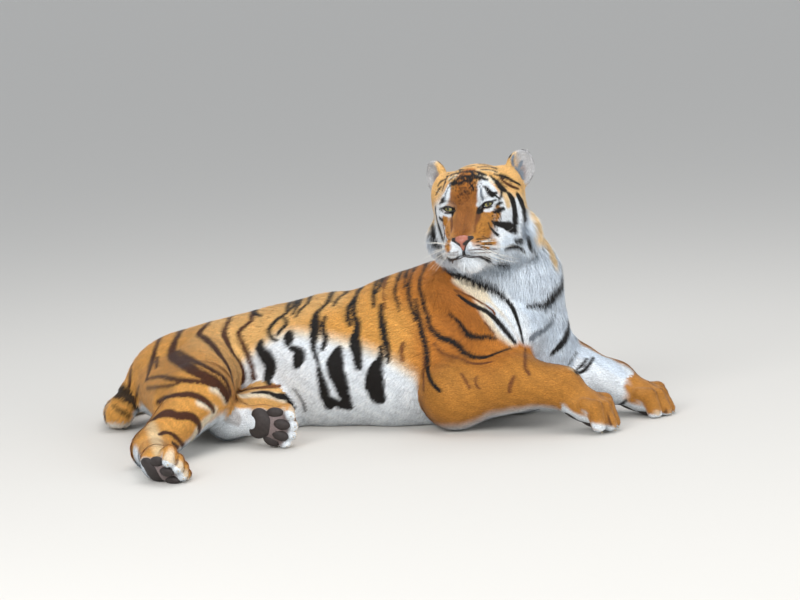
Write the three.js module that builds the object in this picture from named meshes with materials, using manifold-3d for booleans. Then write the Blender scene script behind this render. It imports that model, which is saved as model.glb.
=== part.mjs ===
// A life-size Siberian tiger lying on a flat floor, as a still museum model.
//
// Frame, in millimetres: +Z is up and the floor is Z = 0. The animal's head end is towards +X,
// its belly and both hind legs are towards -Y, and its back is towards +Y.
// Every outline runs out to the tips of the coat.
//
// Each sub-part is a smooth field of rounded bones and muscles: negative inside, positive
// outside, in millimetres. A field is turned into one closed surface on a regular grid, and
// each sub-part is then cut clear of the ones listed before it.
import * as THREE from "three";
import { mergeVertices } from "three/addons/utils/BufferGeometryUtils.js";
import Module from "manifold-3d";

const wasm = await Module();
wasm.setup();

// ---------------------------------------------------------------- driving dimensions

const GAP = 0.6; // clearance left between two neighbouring sub-parts
const FAR = 5000; // half side of the block that stands for the floor

const EYE_SPACING = 112; // between the centres of the eyeballs
const EYE_RADIUS = 20;
const HEAD_TURN = -21; // degrees about Z: the face looks towards -Y and a little to -X
const HEAD_TILT = 6; // degrees about the line of the nose, its left side up
const HEAD_NOD = 3; // degrees about the line of the eyes, nose down
const EYE_MIDDLE = [224, -140, 628]; // half way between the eyeballs

const FOREARM_RISE = 28; // of its middle above the line from elbow to wrist
const TAIL_THICKNESS = 44; // radius at the root
const TAIL_TIP = 27; // radius near the tip

// The joints of the legs. A foreleg runs from the top of the shoulder blade to the toes, and a
// hind leg from the hip to the toes.
const FORELEG_RIGHT = {
  blade: [165, -5, 362],
  shoulder: [335, -86, 262],
  elbow: [158, -122, 100],
  wrist: [444, -220, 120],
  toes: [598, -275, 38],
};
const FORELEG_LEFT = {
  blade: [270, 130, 350],
  shoulder: [394, 96, 258],
  elbow: [352, 92, 100],
  wrist: [606, -4, 92],
  toes: [766, -58, 32],
};
const HINDLEG_RIGHT = {
  hip: [-530, 160, 182],
  seat: [-660, 170, 128],
  knee: [-540, -172, 142],
  hock: [-666, -436, 49],
  ball: [-640, -615, 46],
  toes: [-562, -684, 42],
};
const HINDLEG_LEFT = {
  hip: [-560, 290, 100],
  seat: [-640, 270, 96],
  knee: [-325, 100, 72],
  hock: [-474, -122, 62],
  ball: [-374, -222, 72],
  toes: [-284, -250, 50],
};

// ---------------------------------------------------------------- fields

const at = (p) => new THREE.Vector3(...p);
const lerp = THREE.MathUtils.lerp;

// A bone with its flesh: a tapering rod with round ends.
function bone(from, to, r0, r1) {
  const a = at(from);
  const d = at(to).sub(a);
  const long = d.lengthSq();
  return (x, y, z) => {
    const px = x - a.x;
    const py = y - a.y;
    const pz = z - a.z;
    const t = THREE.MathUtils.clamp((px * d.x + py * d.y + pz * d.z) / long, 0, 1);
    return Math.hypot(px - t * d.x, py - t * d.y, pz - t * d.z) - lerp(r0, r1, t);
  };
}

// A muscle or a mass of fur: an ellipsoid, turned by Euler angles in degrees if they are given.
function lump(centre, radii, turn = [0, 0, 0]) {
  const back = new THREE.Quaternion()
    .setFromEuler(new THREE.Euler(...turn.map(THREE.MathUtils.degToRad), "ZYX"))
    .invert();
  const p = new THREE.Vector3();
  return (x, y, z) => {
    p.set(x - centre[0], y - centre[1], z - centre[2]).applyQuaternion(back);
    const k0 = Math.hypot(p.x / radii[0], p.y / radii[1], p.z / radii[2]);
    const k1 = Math.hypot(p.x / radii[0] ** 2, p.y / radii[1] ** 2, p.z / radii[2] ** 2);
    return k1 < 1e-9 ? -Math.min(...radii) : (k0 * (k0 - 1)) / k1;
  };
}

// Several fields joined, each run into the next over a fillet of about this size.
function blend(fillet, ...fields) {
  return (x, y, z) => {
    let d = fields[0](x, y, z);
    for (let i = 1; i < fields.length; i++) {
      const e = fields[i](x, y, z);
      const h = Math.max(fillet - Math.abs(d - e), 0) / fillet;
      d = Math.min(d, e) - (h * h * fillet) / 4;
    }
    return d;
  };
}

// A field with another pressed into it.
function dent(fillet, field, tool) {
  const joined = blend(fillet, (x, y, z) => -field(x, y, z), tool);
  return (x, y, z) => -joined(x, y, z);
}

// The same thing on both sides of the plane x = 0.
const paired = (field) => (x, y, z) => field(Math.abs(x), y, z);

// A run of bones through these points, with one radius for each.
function limb(fillet, points, radii) {
  const parts = points.slice(1).map((p, i) => bone(points[i], p, radii[i], radii[i + 1]));
  return parts.length > 1 ? blend(fillet, ...parts) : parts[0];
}

// A field made in its own frame, put where the matrix says.
function placed(field, matrix) {
  const back = matrix.clone().invert();
  const p = new THREE.Vector3();
  return (x, y, z) => {
    p.set(x, y, z).applyMatrix4(back);
    return field(p.x, p.y, p.z);
  };
}

// ---------------------------------------------------------------- surfaces

// Grid lines from low to past high, at a step that may change with the place.
function gridLines(low, high, step) {
  const lines = [low];
  while (lines.at(-1) < high) lines.push(lines.at(-1) + step(lines.at(-1)));
  return lines;
}

const even = (step) => [() => step, () => step, () => step];

// A step that is finer between two places.
const finer = (low, high, fine, coarse) => (p) => (p >= low && p < high ? fine : coarse);

// A closed surface round the inside of a field: one vertex in each grid cell that the surface
// crosses, and one four-sided face across each grid edge that it crosses.
function surface(field, box, steps) {
  const lines = box.min.toArray().map((low, k) => gridLines(low, box.max.toArray()[k], steps[k]));
  const [nx, ny, nz] = lines.map((l) => l.length);
  const index = (i, j, k) => (i * ny + j) * nz + k;
  const value = new Float32Array(nx * ny * nz);
  for (let i = 0; i < nx; i++)
    for (let j = 0; j < ny; j++)
      for (let k = 0; k < nz; k++) {
        value[index(i, j, k)] = field(lines[0][i], lines[1][j], lines[2][k]);
      }

  // Where two opposite corners of a grid square lie inside and the other two outside, one of
  // the outer two is taken in, so that exactly two faces meet at every edge of the surface.
  const strides = [ny * nz, nz, 1];
  for (let changed = true; changed; ) {
    changed = false;
    for (let i = 0; i + 1 < nx; i++)
      for (let j = 0; j + 1 < ny; j++)
        for (let k = 0; k + 1 < nz; k++)
          for (let n = 0; n < 3; n++) {
            const [u, v] = [strides[(n + 1) % 3], strides[(n + 2) % 3]];
            const here = index(i, j, k);
            const square = [here, here + u, here + u + v, here + v];
            const inside = square.map((c) => value[c] < 0);
            if (inside[0] !== inside[2] || inside[1] !== inside[3] || inside[0] === inside[1]) continue;
            const outer = square.filter((_, c) => !inside[c]);
            value[value[outer[0]] < value[outer[1]] ? outer[0] : outer[1]] = -0.01;
            changed = true;
          }
  }

  const corners = [0, 1, 2, 3, 4, 5, 6, 7].map((c) => [c & 1, (c >> 1) & 1, c >> 2]);
  const edges = [];
  corners.forEach((a, i) =>
    corners.forEach((b, j) => {
      if (i < j && Math.abs(a[0] - b[0]) + Math.abs(a[1] - b[1]) + Math.abs(a[2] - b[2]) === 1)
        edges.push([a, b]);
    }),
  );
  const vertexOf = new Map();
  const places = [];
  for (let i = 0; i + 1 < nx; i++)
    for (let j = 0; j + 1 < ny; j++)
      for (let k = 0; k + 1 < nz; k++) {
        const sum = [0, 0, 0];
        let crossings = 0;
        for (const [a, b] of edges) {
          const va = value[index(i + a[0], j + a[1], k + a[2])];
          const vb = value[index(i + b[0], j + b[1], k + b[2])];
          if (va < 0 === vb < 0) continue;
          const t = va / (va - vb);
          const cell = [i, j, k];
          for (let n = 0; n < 3; n++)
            sum[n] += lerp(lines[n][cell[n] + a[n]], lines[n][cell[n] + b[n]], t);
          crossings++;
        }
        if (!crossings) continue;
        vertexOf.set(index(i, j, k), places.length / 3);
        places.push(...sum.map((s) => s / crossings));
      }

  const faces = [];
  const unit = [[1, 0, 0], [0, 1, 0], [0, 0, 1]];
  for (let i = 1; i + 1 < nx; i++)
    for (let j = 1; j + 1 < ny; j++)
      for (let k = 1; k + 1 < nz; k++)
        for (let n = 0; n < 3; n++) {
          const [u, v] = [unit[(n + 1) % 3], unit[(n + 2) % 3]];
          const inside = value[index(i, j, k)] < 0;
          if (inside === value[index(i + unit[n][0], j + unit[n][1], k + unit[n][2])] < 0) continue;
          const ring = [[1, 1], [0, 1], [0, 0], [1, 0]].map(([a, b]) =>
            vertexOf.get(index(i - a * u[0] - b * v[0], j - a * u[1] - b * v[1], k - a * u[2] - b * v[2])),
          );
          if (!inside) ring.reverse();
          faces.push(ring[0], ring[1], ring[2], ring[0], ring[2], ring[3]);
        }
  return { places: Float32Array.from(places), faces: Uint32Array.from(faces) };
}

// A three.js geometry as the same kind of surface, with the vertices that its faces share merged.
function merged(geometry) {
  const whole = mergeVertices(geometry.deleteAttribute("uv").deleteAttribute("normal"), 1e-3);
  const faces = [];
  for (let i = 0; i < whole.index.count; i += 3) {
    const [a, b, c] = whole.index.array.slice(i, i + 3);
    if (a !== b && b !== c && a !== c) faces.push(a, b, c);
  }
  return { places: whole.getAttribute("position").array, faces: Uint32Array.from(faces) };
}

// A surface carried by a matrix.
function carried({ places, faces }, matrix) {
  return { places: new THREE.BufferAttribute(places, 3).applyMatrix4(matrix).array, faces };
}

// A surface moved outwards by GAP, which cuts its neighbours clear of it.
function grown({ places, faces }) {
  const geometry = new THREE.BufferGeometry()
    .setAttribute("position", new THREE.BufferAttribute(places, 3))
    .setIndex(new THREE.BufferAttribute(faces, 1));
  geometry.computeVertexNormals();
  const normals = geometry.getAttribute("normal").array;
  return { places: places.map((v, i) => v + GAP * normals[i]), faces };
}

const solidFrom = ({ places, faces }) =>
  new wasm.Manifold(new wasm.Mesh({ numProp: 3, vertProperties: places, triVerts: faces }));

// ---------------------------------------------------------------- head

// In the head's own frame the middle of the eyes is the origin, the face looks towards -y, the
// animal's left is +x and the crown is +z.
const headFrame = new THREE.Matrix4()
  .makeTranslation(...EYE_MIDDLE)
  .multiply(new THREE.Matrix4().makeRotationZ(THREE.MathUtils.degToRad(HEAD_TURN)))
  .multiply(new THREE.Matrix4().makeRotationY(THREE.MathUtils.degToRad(-HEAD_TILT)))
  .multiply(new THREE.Matrix4().makeRotationX(THREE.MathUtils.degToRad(HEAD_NOD)));

const EYE = [EYE_SPACING / 2, 0, 0];

function headField() {
  const skull = lump([0, 86, 16], [100, 112, 92]);
  const earRoot = lump([86, 82, 46], [40, 44, 46]);
  const forehead = lump([0, 22, 34], [70, 48, 54]);
  const brow = lump([42, -2, 27], [36, 24, 17], [0, 0, -14]);
  const temple = lump([86, 82, 4], [54, 62, 68]);
  const cheekbone = lump([68, 50, -32], [50, 70, 56]);
  const bridge = bone([12, 2, -8], [15, -84, -72], 32, 25);
  const muzzle = lump([0, -58, -100], [56, 50, 42]);
  const whiskerPad = lump([29, -80, -102], [34, 36, 31], [0, 0, 16]);
  const chin = lump([0, -64, -140], [38, 36, 27]);
  const jaw = bone([22, -46, -124], [72, 60, -98], 32, 50);
  const throat = lump([0, 70, -106], [104, 86, 72]);
  const ruff = lump([106, 68, -100], [62, 54, 82], [0, 10, 0]);
  const socket = lump([EYE[0] + 3, -30, 0], [25, 22, 14], [0, 0, -20]);
  const mass = blend(
    34,
    skull,
    forehead,
    paired(earRoot),
    paired(temple),
    paired(cheekbone),
    throat,
    paired(ruff),
    paired(jaw),
  );
  const face = blend(18, mass, paired(bridge), muzzle, paired(brow));
  return dent(8, blend(12, face, paired(whiskerPad), chin), paired(socket));
}

function noseField() {
  const wings = paired(bone([4, -105, -80], [21, -99, -78], 15, 12));
  return blend(10, wings, bone([0, -106, -86], [0, -107, -104], 15, 8));
}

// An ear is a rounded cup, hollow towards its front and open at the side of the head.
const EAR = { centre: [122, 104, 68], radii: [44, 26, 57], hollow: [35, 22, 46], forward: 18 };

function earSolid(side) {
  const turn = new THREE.Matrix4()
    .makeTranslation(side * EAR.centre[0], EAR.centre[1], EAR.centre[2])
    .multiply(new THREE.Matrix4().makeRotationFromEuler(new THREE.Euler(
      THREE.MathUtils.degToRad(-8),
      THREE.MathUtils.degToRad(side * 24),
      THREE.MathUtils.degToRad(side * 34),
      "ZYX",
    )));
  const cup = (radii, y, z) => {
    const ball = new THREE.SphereGeometry(1, 11, 7).scale(...radii).translate(0, y, z);
    return solidFrom(carried(merged(ball), headFrame.clone().multiply(turn)));
  };
  return cup(EAR.radii, 0, 0).subtract(cup(EAR.hollow, -EAR.forward, 4));
}

function eyeSurface(side) {
  const ball = new THREE.SphereGeometry(EYE_RADIUS, 9, 6).rotateX(Math.PI / 2);
  return carried(merged(ball.translate(side * EYE[0], EYE[1], EYE[2])), headFrame);
}

// ---------------------------------------------------------------- neck, trunk and tail

function neckField() {
  const nape = limb(60, [[258, 20, 560], [262, 50, 450], [250, 70, 360]], [98, 112, 122]);
  const throat = limb(60, [[308, -20, 500], [344, 10, 400], [360, 24, 300]], [108, 118, 124]);
  return blend(70, nape, throat);
}

function trunkField() {
  const back = limb(
    80,
    [[260, 60, 290], [150, 84, 304], [20, 130, 268], [-190, 190, 222], [-341, 212, 188],
     [-480, 222, 156], [-590, 232, 130]],
    [126, 132, 124, 120, 122, 122, 108],
  );
  const belly = limb(
    80,
    [[365, 20, 190], [180, 30, 152], [0, 62, 146], [-190, 112, 138], [-360, 150, 125]],
    [142, 150, 150, 140, 118],
  );
  const rump = lump([-620, 215, 128], [158, 120, 124]);
  return blend(90, back, belly, rump);
}

// The tail leaves the rump low, runs out to -X on the floor and curls back behind the animal.
function tailCurve() {
  return new THREE.CatmullRomCurve3(
    [[-690, 228, 145], [-758, 180, 100], [-795, 150, 52], [-812, 215, 36], [-816, 320, 34], [-775, 415, 32],
     [-680, 468, 29], [-560, 488, 26], [-420, 488, 22]].map(at),
  );
}

function tailField() {
  const places = tailCurve().getSpacedPoints(14).map((p) => p.toArray());
  const radii = places.map((_, i) => lerp(TAIL_THICKNESS, TAIL_TIP, i / (places.length - 1)));
  return limb(10, places, radii);
}

// ---------------------------------------------------------------- legs

function shoulderField(leg) {
  const blade = limb(40, [leg.blade, leg.shoulder], [72, 72]);
  const arm = limb(40, [leg.shoulder, leg.elbow], [72, 92]);
  return blend(70, blade, arm);
}

function forearmField(leg) {
  const [x, y, z] = leg.elbow.map((v, k) => lerp(v, leg.wrist[k], 0.5));
  return limb(40, [leg.elbow, [x, y, z + FOREARM_RISE], leg.wrist], [98, 84, 60]);
}

// A paw from the wrist or the ball of the foot to the toes: a flat palm and four rounded toes
// side by side. "up" is the direction that the back of the paw faces.
function pawField(from, to, up, width, thick) {
  const forward = at(to).sub(at(from));
  const long = forward.length();
  forward.normalize();
  const side = new THREE.Vector3().crossVectors(forward, at(up)).normalize();
  const top = new THREE.Vector3().crossVectors(side, forward);
  const frame = new THREE.Matrix4().makeBasis(side, forward, top).setPosition(at(from));
  const palm = lump([0, long * 0.52, -thick * 0.12], [width * 0.46, long * 0.42, thick * 0.44]);
  const root = bone([0, 0, 0], [0, long * 0.45, -thick * 0.08], thick * 0.52, thick * 0.4);
  const toes = [-1.5, -0.5, 0.5, 1.5].map((n) => {
    const outer = Math.abs(n) > 1;
    const reach = long * (outer ? 0.81 : 0.92);
    const joints = [
      [n * width * 0.235, long * 0.48, thick * 0.03],
      [n * width * 0.245, reach * 0.79, thick * 0.08],
      [n * width * 0.25, reach, -thick * (outer ? 0.29 : 0.22)],
    ];
    return limb(4, joints, [width * 0.15, width * 0.183, width * 0.163]);
  });
  return placed(blend(12, blend(24, palm, root), ...toes), frame);
}

function thighField(leg) {
  const thigh = limb(50, [leg.hip, leg.knee], [104, 86]);
  const hamstring = bone(
    leg.seat,
    [leg.knee[0] - 66, leg.knee[1] + 30, leg.knee[2] - 20],
    96,
    82,
  );
  return blend(60, thigh, hamstring);
}

const shankField = (leg) => limb(30, [leg.knee, leg.hock], [84, 54]);

// From the hock, with its heel, to the ball of the foot.
function footField(leg) {
  return limb(20, [leg.hock, leg.ball], [50, 44]);
}

// ---------------------------------------------------------------- sub-parts

const box = (...points) => new THREE.Box3().setFromPoints(points.map(at));

// The surface of a field whose inside lies less than REACH from these points.
const REACH = 320;
const flesh = (field, points, step) => surface(field, box(...points).expandByScalar(REACH), even(step));

const inHead = (field, low, high, steps) =>
  carried(surface(field, new THREE.Box3(at(low), at(high)), steps), headFrame);

const COLOURS = { coat: 0xc9822f, nose: 0xb5695a, eye: 0xa8a45c };

const PAW_UP = [0, 0, 1];
const HIND_UP_RIGHT = [0.4, 0.7, 0.6];
const HIND_UP_LEFT = [0.3, 0.95, 0.1];

const forelegParts = (side, leg) => [
  { name: `shoulder_${side}`, skin: flesh(shoulderField(leg), [leg.blade, leg.shoulder, leg.elbow], 58) },
  { name: `forearm_${side}`, skin: flesh(forearmField(leg), [leg.elbow, leg.wrist], 48) },
  {
    name: `forepaw_${side}`,
    skin: flesh(pawField(leg.wrist, leg.toes, PAW_UP, 142, 100), [leg.wrist, leg.toes], 23),
  },
];

const hindlegParts = (side, leg, up) => {
  const paw = blend(24, pawField(leg.ball, leg.toes, up, 116, 80), footField(leg));
  return [
    { name: `thigh_${side}`, skin: flesh(thighField(leg), [leg.hip, leg.knee], 62) },
    { name: `shank_${side}`, skin: flesh(shankField(leg), [leg.knee, leg.hock], 47) },
    { name: `hind_paw_${side}`, skin: flesh(paw, [leg.hock, leg.ball, leg.toes], 25) },
  ];
};

// The head's grid is finer over the face.
const FACE_STEPS = [finer(-94, 94, 14, 30), finer(-180, -20, 14, 32), finer(-150, 45, 14, 31)];

const tailPoints = tailCurve().getSpacedPoints(14).map((p) => p.toArray());

const parts = [
  { name: "eye_left", skin: eyeSurface(1), colour: COLOURS.eye, roughness: 0.1 },
  { name: "eye_right", skin: eyeSurface(-1), colour: COLOURS.eye, roughness: 0.1 },
  {
    name: "nose",
    skin: inHead(noseField(), [-50, -135, -128], [50, -70, -40], even(10)),
    colour: COLOURS.nose,
    roughness: 0.5,
  },
  { name: "trunk", skin: flesh(trunkField(), [[365, 20, 190], [-620, 232, 128]], 70) },
  { name: "neck", skin: flesh(neckField(), [[258, 20, 560], [352, 24, 240]], 60) },
  { name: "head", skin: inHead(headField(), [-202, -170, -232], [200, 240, 160], FACE_STEPS) },
  { name: "ear_left", solid: earSolid(1) },
  { name: "ear_right", solid: earSolid(-1) },
  ...forelegParts("right", FORELEG_RIGHT),
  ...forelegParts("left", FORELEG_LEFT),
  ...hindlegParts("right", HINDLEG_RIGHT, HIND_UP_RIGHT),
  ...hindlegParts("left", HINDLEG_LEFT, HIND_UP_LEFT),
  { name: "tail", skin: flesh(tailField(), tailPoints, 42) },
];

// ---------------------------------------------------------------- assembly

const floor = solidFrom(merged(new THREE.BoxGeometry(2 * FAR, 2 * FAR, FAR).translate(0, 0, -FAR / 2)));

const largest = (solid) => solid.decompose().reduce((a, b) => (a.volume() > b.volume() ? a : b));

// Each sub-part without the floor, and without what the ones before it take up.
function cutApart() {
  const cutters = [floor];
  return parts.map(({ name, skin, solid = solidFrom(skin), colour = COLOURS.coat, roughness = 0.9 }) => {
    for (const cutter of cutters) solid = solid.subtract(cutter);
    if (skin) cutters.push(solidFrom(grown(skin)));
    return { name, solid: largest(solid), colour, roughness };
  });
}

function meshOf({ name, solid, colour, roughness }) {
  const { vertProperties, triVerts, numProp } = solid.getMesh();
  const places = new Float32Array(vertProperties.length / numProp * 3);
  for (let i = 0; i * numProp < vertProperties.length; i++)
    places.set(vertProperties.subarray(i * numProp, i * numProp + 3), i * 3);
  const geometry = new THREE.BufferGeometry()
    .setAttribute("position", new THREE.BufferAttribute(places, 3))
    .setIndex(new THREE.BufferAttribute(triVerts, 1));
  const mesh = new THREE.Mesh(geometry, new THREE.MeshStandardMaterial({ color: colour, roughness }));
  mesh.name = name;
  return mesh;
}

const tiger = new THREE.Group();
tiger.name = "siberian_tiger";
tiger.add(...cutApart().map(meshOf));

// The origin is the middle of the bounding box, on the floor.
const extent = new THREE.Box3().setFromObject(tiger);
const middle = extent.getCenter(new THREE.Vector3());
tiger.position.set(-middle.x, -middle.y, -extent.min.z);

export default tiger;
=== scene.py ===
# A life-size Siberian tiger, lying down with its head turned over its right shoulder.
#
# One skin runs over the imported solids, and lies inside them by the depth of the coat. Tufts of
# fur grow from it. Eyes, eyelids, nose, lips, paw pads, claws and whiskers are pieces of their own.
#
# Shapes are worked out in the animal's own frame, in millimetres: +X towards the head end, -Y
# towards the belly and the hind legs, +Z up, and the floor at 0. The frame's eyeballs say where
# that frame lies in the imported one.
import math

import bmesh
import bpy
import numpy as np
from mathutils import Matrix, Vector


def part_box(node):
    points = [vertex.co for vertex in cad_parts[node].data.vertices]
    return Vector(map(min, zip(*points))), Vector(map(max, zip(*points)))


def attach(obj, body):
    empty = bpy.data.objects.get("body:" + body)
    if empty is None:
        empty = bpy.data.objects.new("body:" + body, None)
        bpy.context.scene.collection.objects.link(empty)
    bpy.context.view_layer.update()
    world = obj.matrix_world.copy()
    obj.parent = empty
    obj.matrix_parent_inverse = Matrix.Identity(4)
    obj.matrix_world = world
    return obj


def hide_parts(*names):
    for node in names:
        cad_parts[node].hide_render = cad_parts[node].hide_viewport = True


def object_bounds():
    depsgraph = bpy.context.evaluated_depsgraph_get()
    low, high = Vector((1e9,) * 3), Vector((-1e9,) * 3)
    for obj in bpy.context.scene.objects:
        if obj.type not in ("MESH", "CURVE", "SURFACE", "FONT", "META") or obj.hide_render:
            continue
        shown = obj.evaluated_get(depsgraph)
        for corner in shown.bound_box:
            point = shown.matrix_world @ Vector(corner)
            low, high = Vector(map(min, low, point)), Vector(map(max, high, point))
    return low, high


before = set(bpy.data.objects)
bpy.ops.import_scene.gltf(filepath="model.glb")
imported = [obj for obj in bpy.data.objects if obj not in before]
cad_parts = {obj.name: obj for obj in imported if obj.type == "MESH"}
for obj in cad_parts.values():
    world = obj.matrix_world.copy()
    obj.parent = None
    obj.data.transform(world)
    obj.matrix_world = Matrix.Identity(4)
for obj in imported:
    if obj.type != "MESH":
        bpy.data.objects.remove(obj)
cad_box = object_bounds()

import openvdb
from mathutils import Matrix, Vector
from mathutils.bvhtree import BVHTree

# ---------------------------------------------------------------- driving sizes, in millimetres

EYE_MIDDLE = (224, -140, 628)  # the middle of the eyes, in the animal's frame
HEAD_NOD = 3  # degrees about the line of the eyes, nose down

FORELEG = {
    "right": dict(blade=(165, -5, 362), shoulder=(335, -86, 262), elbow=(158, -122, 100),
                  wrist=(444, -220, 120), toes=(598, -275, 38)),
    "left": dict(blade=(270, 130, 350), shoulder=(394, 96, 258), elbow=(352, 92, 100),
                 wrist=(606, -4, 92), toes=(766, -58, 32)),
}
HINDLEG = {
    "right": dict(hip=(-530, 160, 182), seat=(-660, 170, 128), knee=(-540, -172, 142),
                  hock=(-666, -436, 49), ball=(-640, -615, 46), toes=(-562, -684, 42)),
    "left": dict(hip=(-560, 290, 100), seat=(-640, 270, 96), knee=(-325, 100, 72),
                 hock=(-474, -122, 62), ball=(-374, -222, 72), toes=(-284, -250, 50)),
}
FOREARM_RISE = 28  # of its middle above the line from elbow to wrist
# Which way the back of each paw faces.
PAW_UP = {"fore": (0, 0, 1), "hind_right": (0.4, 0.7, 0.6), "hind_left": (0.3, 0.95, 0.1)}
FOREPAW = dict(width=142, thick=100)
HINDPAW = dict(width=116, thick=80)
# Middle lines, each from the head's end.
SPINE = [(260, 60, 290), (150, 84, 304), (20, 130, 268), (-190, 190, 222), (-341, 212, 188),
         (-480, 222, 156), (-590, 232, 130)]
BELLY = [(365, 20, 190), (180, 30, 152), (0, 62, 146), (-190, 112, 138), (-360, 150, 125)]
NAPE = [(258, 20, 560), (262, 50, 450), (250, 70, 360)]
THROAT = [(308, -20, 500), (344, 10, 400), (360, 24, 300)]
TAIL = [(-690, 228, 145), (-758, 180, 100), (-795, 150, 52), (-812, 215, 36), (-816, 320, 34),
        (-775, 415, 32), (-680, 468, 29), (-560, 488, 26), (-420, 488, 22)]
HAUNCH_FLOW = [(-420, 60, 340), (-660, -90, 60)]  # the way the hair lies over the haunches

# The camera looks along +Y from a person's height.
AIM = (18, 0, 355)
CAMERA_DISTANCE = 9000
CAMERA_ELEVATION = 8  # degrees
CAMERA_ROLL = 3
VIEW_WIDTH = 2240  # of what the frame shows at the aim
SENSOR_WIDTH = 36

SKIN_STEP = 7  # grid of the skin
SEED = 7

# ---------------------------------------------------------------- small mathematics


def vec(p):
    return np.array(p, float)


def unit(v):
    v = np.asarray(v, float)
    return v / np.maximum(np.linalg.norm(v, axis=-1, keepdims=True), 1e-9)


def smooth(low, high, x):
    t = np.clip((x - low) / (high - low), 0, 1)
    return t * t * (3 - 2 * t)


def folded(p):
    """Places with the right half laid over the left one."""
    return np.column_stack([np.abs(p[:, 0]), p[:, 1:]])


def curve_points(points, step):
    """Points about a step apart on a smooth curve through the given ones."""
    p = vec(points)
    padded = np.vstack([2 * p[0] - p[1], p, 2 * p[-1] - p[-2]])
    out = []
    for a, b, c, d in zip(padded, padded[1:], padded[2:], padded[3:]):
        n = max(1, math.ceil(np.linalg.norm(c - b) / step))
        t = (np.arange(n) / n)[:, None]
        out.append(0.5 * (2 * b + (c - a) * t + (2 * a - 5 * b + 4 * c - d) * t**2
                          + (3 * b - 3 * c + d - a) * t**3))
    return np.vstack(out + [p[-1:]])


# ---------------------------------------------------------------- the animal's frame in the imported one

eye_places = [0.5e3 * (vec(lo) + vec(hi)) for lo, hi in (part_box("eye_left"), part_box("eye_right"))]
SHIFT = 0.5 * (eye_places[0] + eye_places[1]) - vec(EYE_MIDDLE)


def head_axes():
    """The animal's left, the back of the head and the crown, as rows."""
    left = unit(eye_places[0] - eye_places[1])
    level = unit(np.cross((0, 0, 1), left))
    up = np.cross(left, level)
    nod = math.radians(HEAD_NOD)
    back = math.cos(nod) * level + math.sin(nod) * up
    return np.array([left, back, np.cross(left, back)])


HEAD_AXES = head_axes()
HALF_SPACING = 0.5 * np.linalg.norm(eye_places[0] - eye_places[1])
EYE = np.array([HALF_SPACING, 0, 0])


def to_head(p):
    return (p - vec(EYE_MIDDLE)) @ HEAD_AXES.T


def from_head(p):
    return p @ HEAD_AXES + vec(EYE_MIDDLE)


def to_row(p):
    """From the animal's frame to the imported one, in metres."""
    return (p + SHIFT) * 1e-3


# ---------------------------------------------------------------- fields: negative inside, in millimetres


def bone(a, b, r0, r1):
    a, d = vec(a), vec(b) - vec(a)

    def field(p):
        t = np.clip((p - a) @ d / (d @ d), 0, 1)
        return np.linalg.norm(p - a - t[:, None] * d, axis=1) - (r0 + (r1 - r0) * t)

    return field


def turn_matrix(turn):
    x, y, z = (math.radians(v) for v in turn)
    return np.array(Matrix.Rotation(z, 3, "Z") @ Matrix.Rotation(y, 3, "Y")
                    @ Matrix.Rotation(x, 3, "X"))


def lump(centre, radii, turn=(0, 0, 0)):
    c, r, m = vec(centre), vec(radii), turn_matrix(turn)

    def field(p):
        q = (p - c) @ m
        k0 = np.linalg.norm(q / r, axis=1)
        k1 = np.linalg.norm(q / r**2, axis=1)
        return np.where(k1 < 1e-9, -r.min(), k0 * (k0 - 1) / np.maximum(k1, 1e-9))

    return field


def merge(d, e, fillet):
    h = np.maximum(fillet - np.abs(d - e), 0) / fillet
    return np.minimum(d, e) - h * h * fillet / 4


def blend(fillet, *fields):
    def field(p):
        d = fields[0](p)
        for f in fields[1:]:
            d = merge(d, f(p), fillet)
        return d

    return field


def dent(fillet, field, tool):
    return lambda p: -merge(-field(p), tool(p), fillet)


def paired(field):
    return lambda p: field(folded(p))


def limb(fillet, points, radii):
    return blend(fillet, *map(bone, points, points[1:], radii, radii[1:]))


def placed(field, origin, axes):
    return lambda p: field((p - vec(origin)) @ np.asarray(axes).T)


# ---------------------------------------------------------------- the head

EAR_CENTRE = vec((122, 104, 68))
EAR_AXES = turn_matrix((-8, 24, 34)).T


def head_depth(p):
    """Depth of the coat on the head: thin on the face, deep on the ruff, jaw and back."""
    a = np.abs(p[:, 0])
    back = smooth(20, 130, p[:, 1])
    ruff = smooth(70, 130, a) * smooth(20, -50, p[:, 2])
    chin = smooth(-120, -165, p[:, 2]) * 0.4
    return 2.5 + 10 * np.clip(np.maximum(np.maximum(back, ruff), chin), 0, 1)


LID_RADII = vec((24, 23.5, 20))  # of the lids over an eyeball
OPENING_RADII = (15.5, 20, 6.6)  # of the almond that the lids leave open
OPENING_PLACE = vec((0.5, -18, -2))  # from the middle of the eyeball
OPENING_SLANT = -12  # degrees, the outer corner higher
TEAR_CORNER = [(-14, -22, -6), (-20, -24, -11), (-27, -28, -17)]  # from the middle of the eyeball
MOUTH = [(0, -113, -124), (16, -111, -129), (34, -99, -131), (47, -82, -137), (55, -64, -146),
         (58, -48, -155)]


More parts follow.
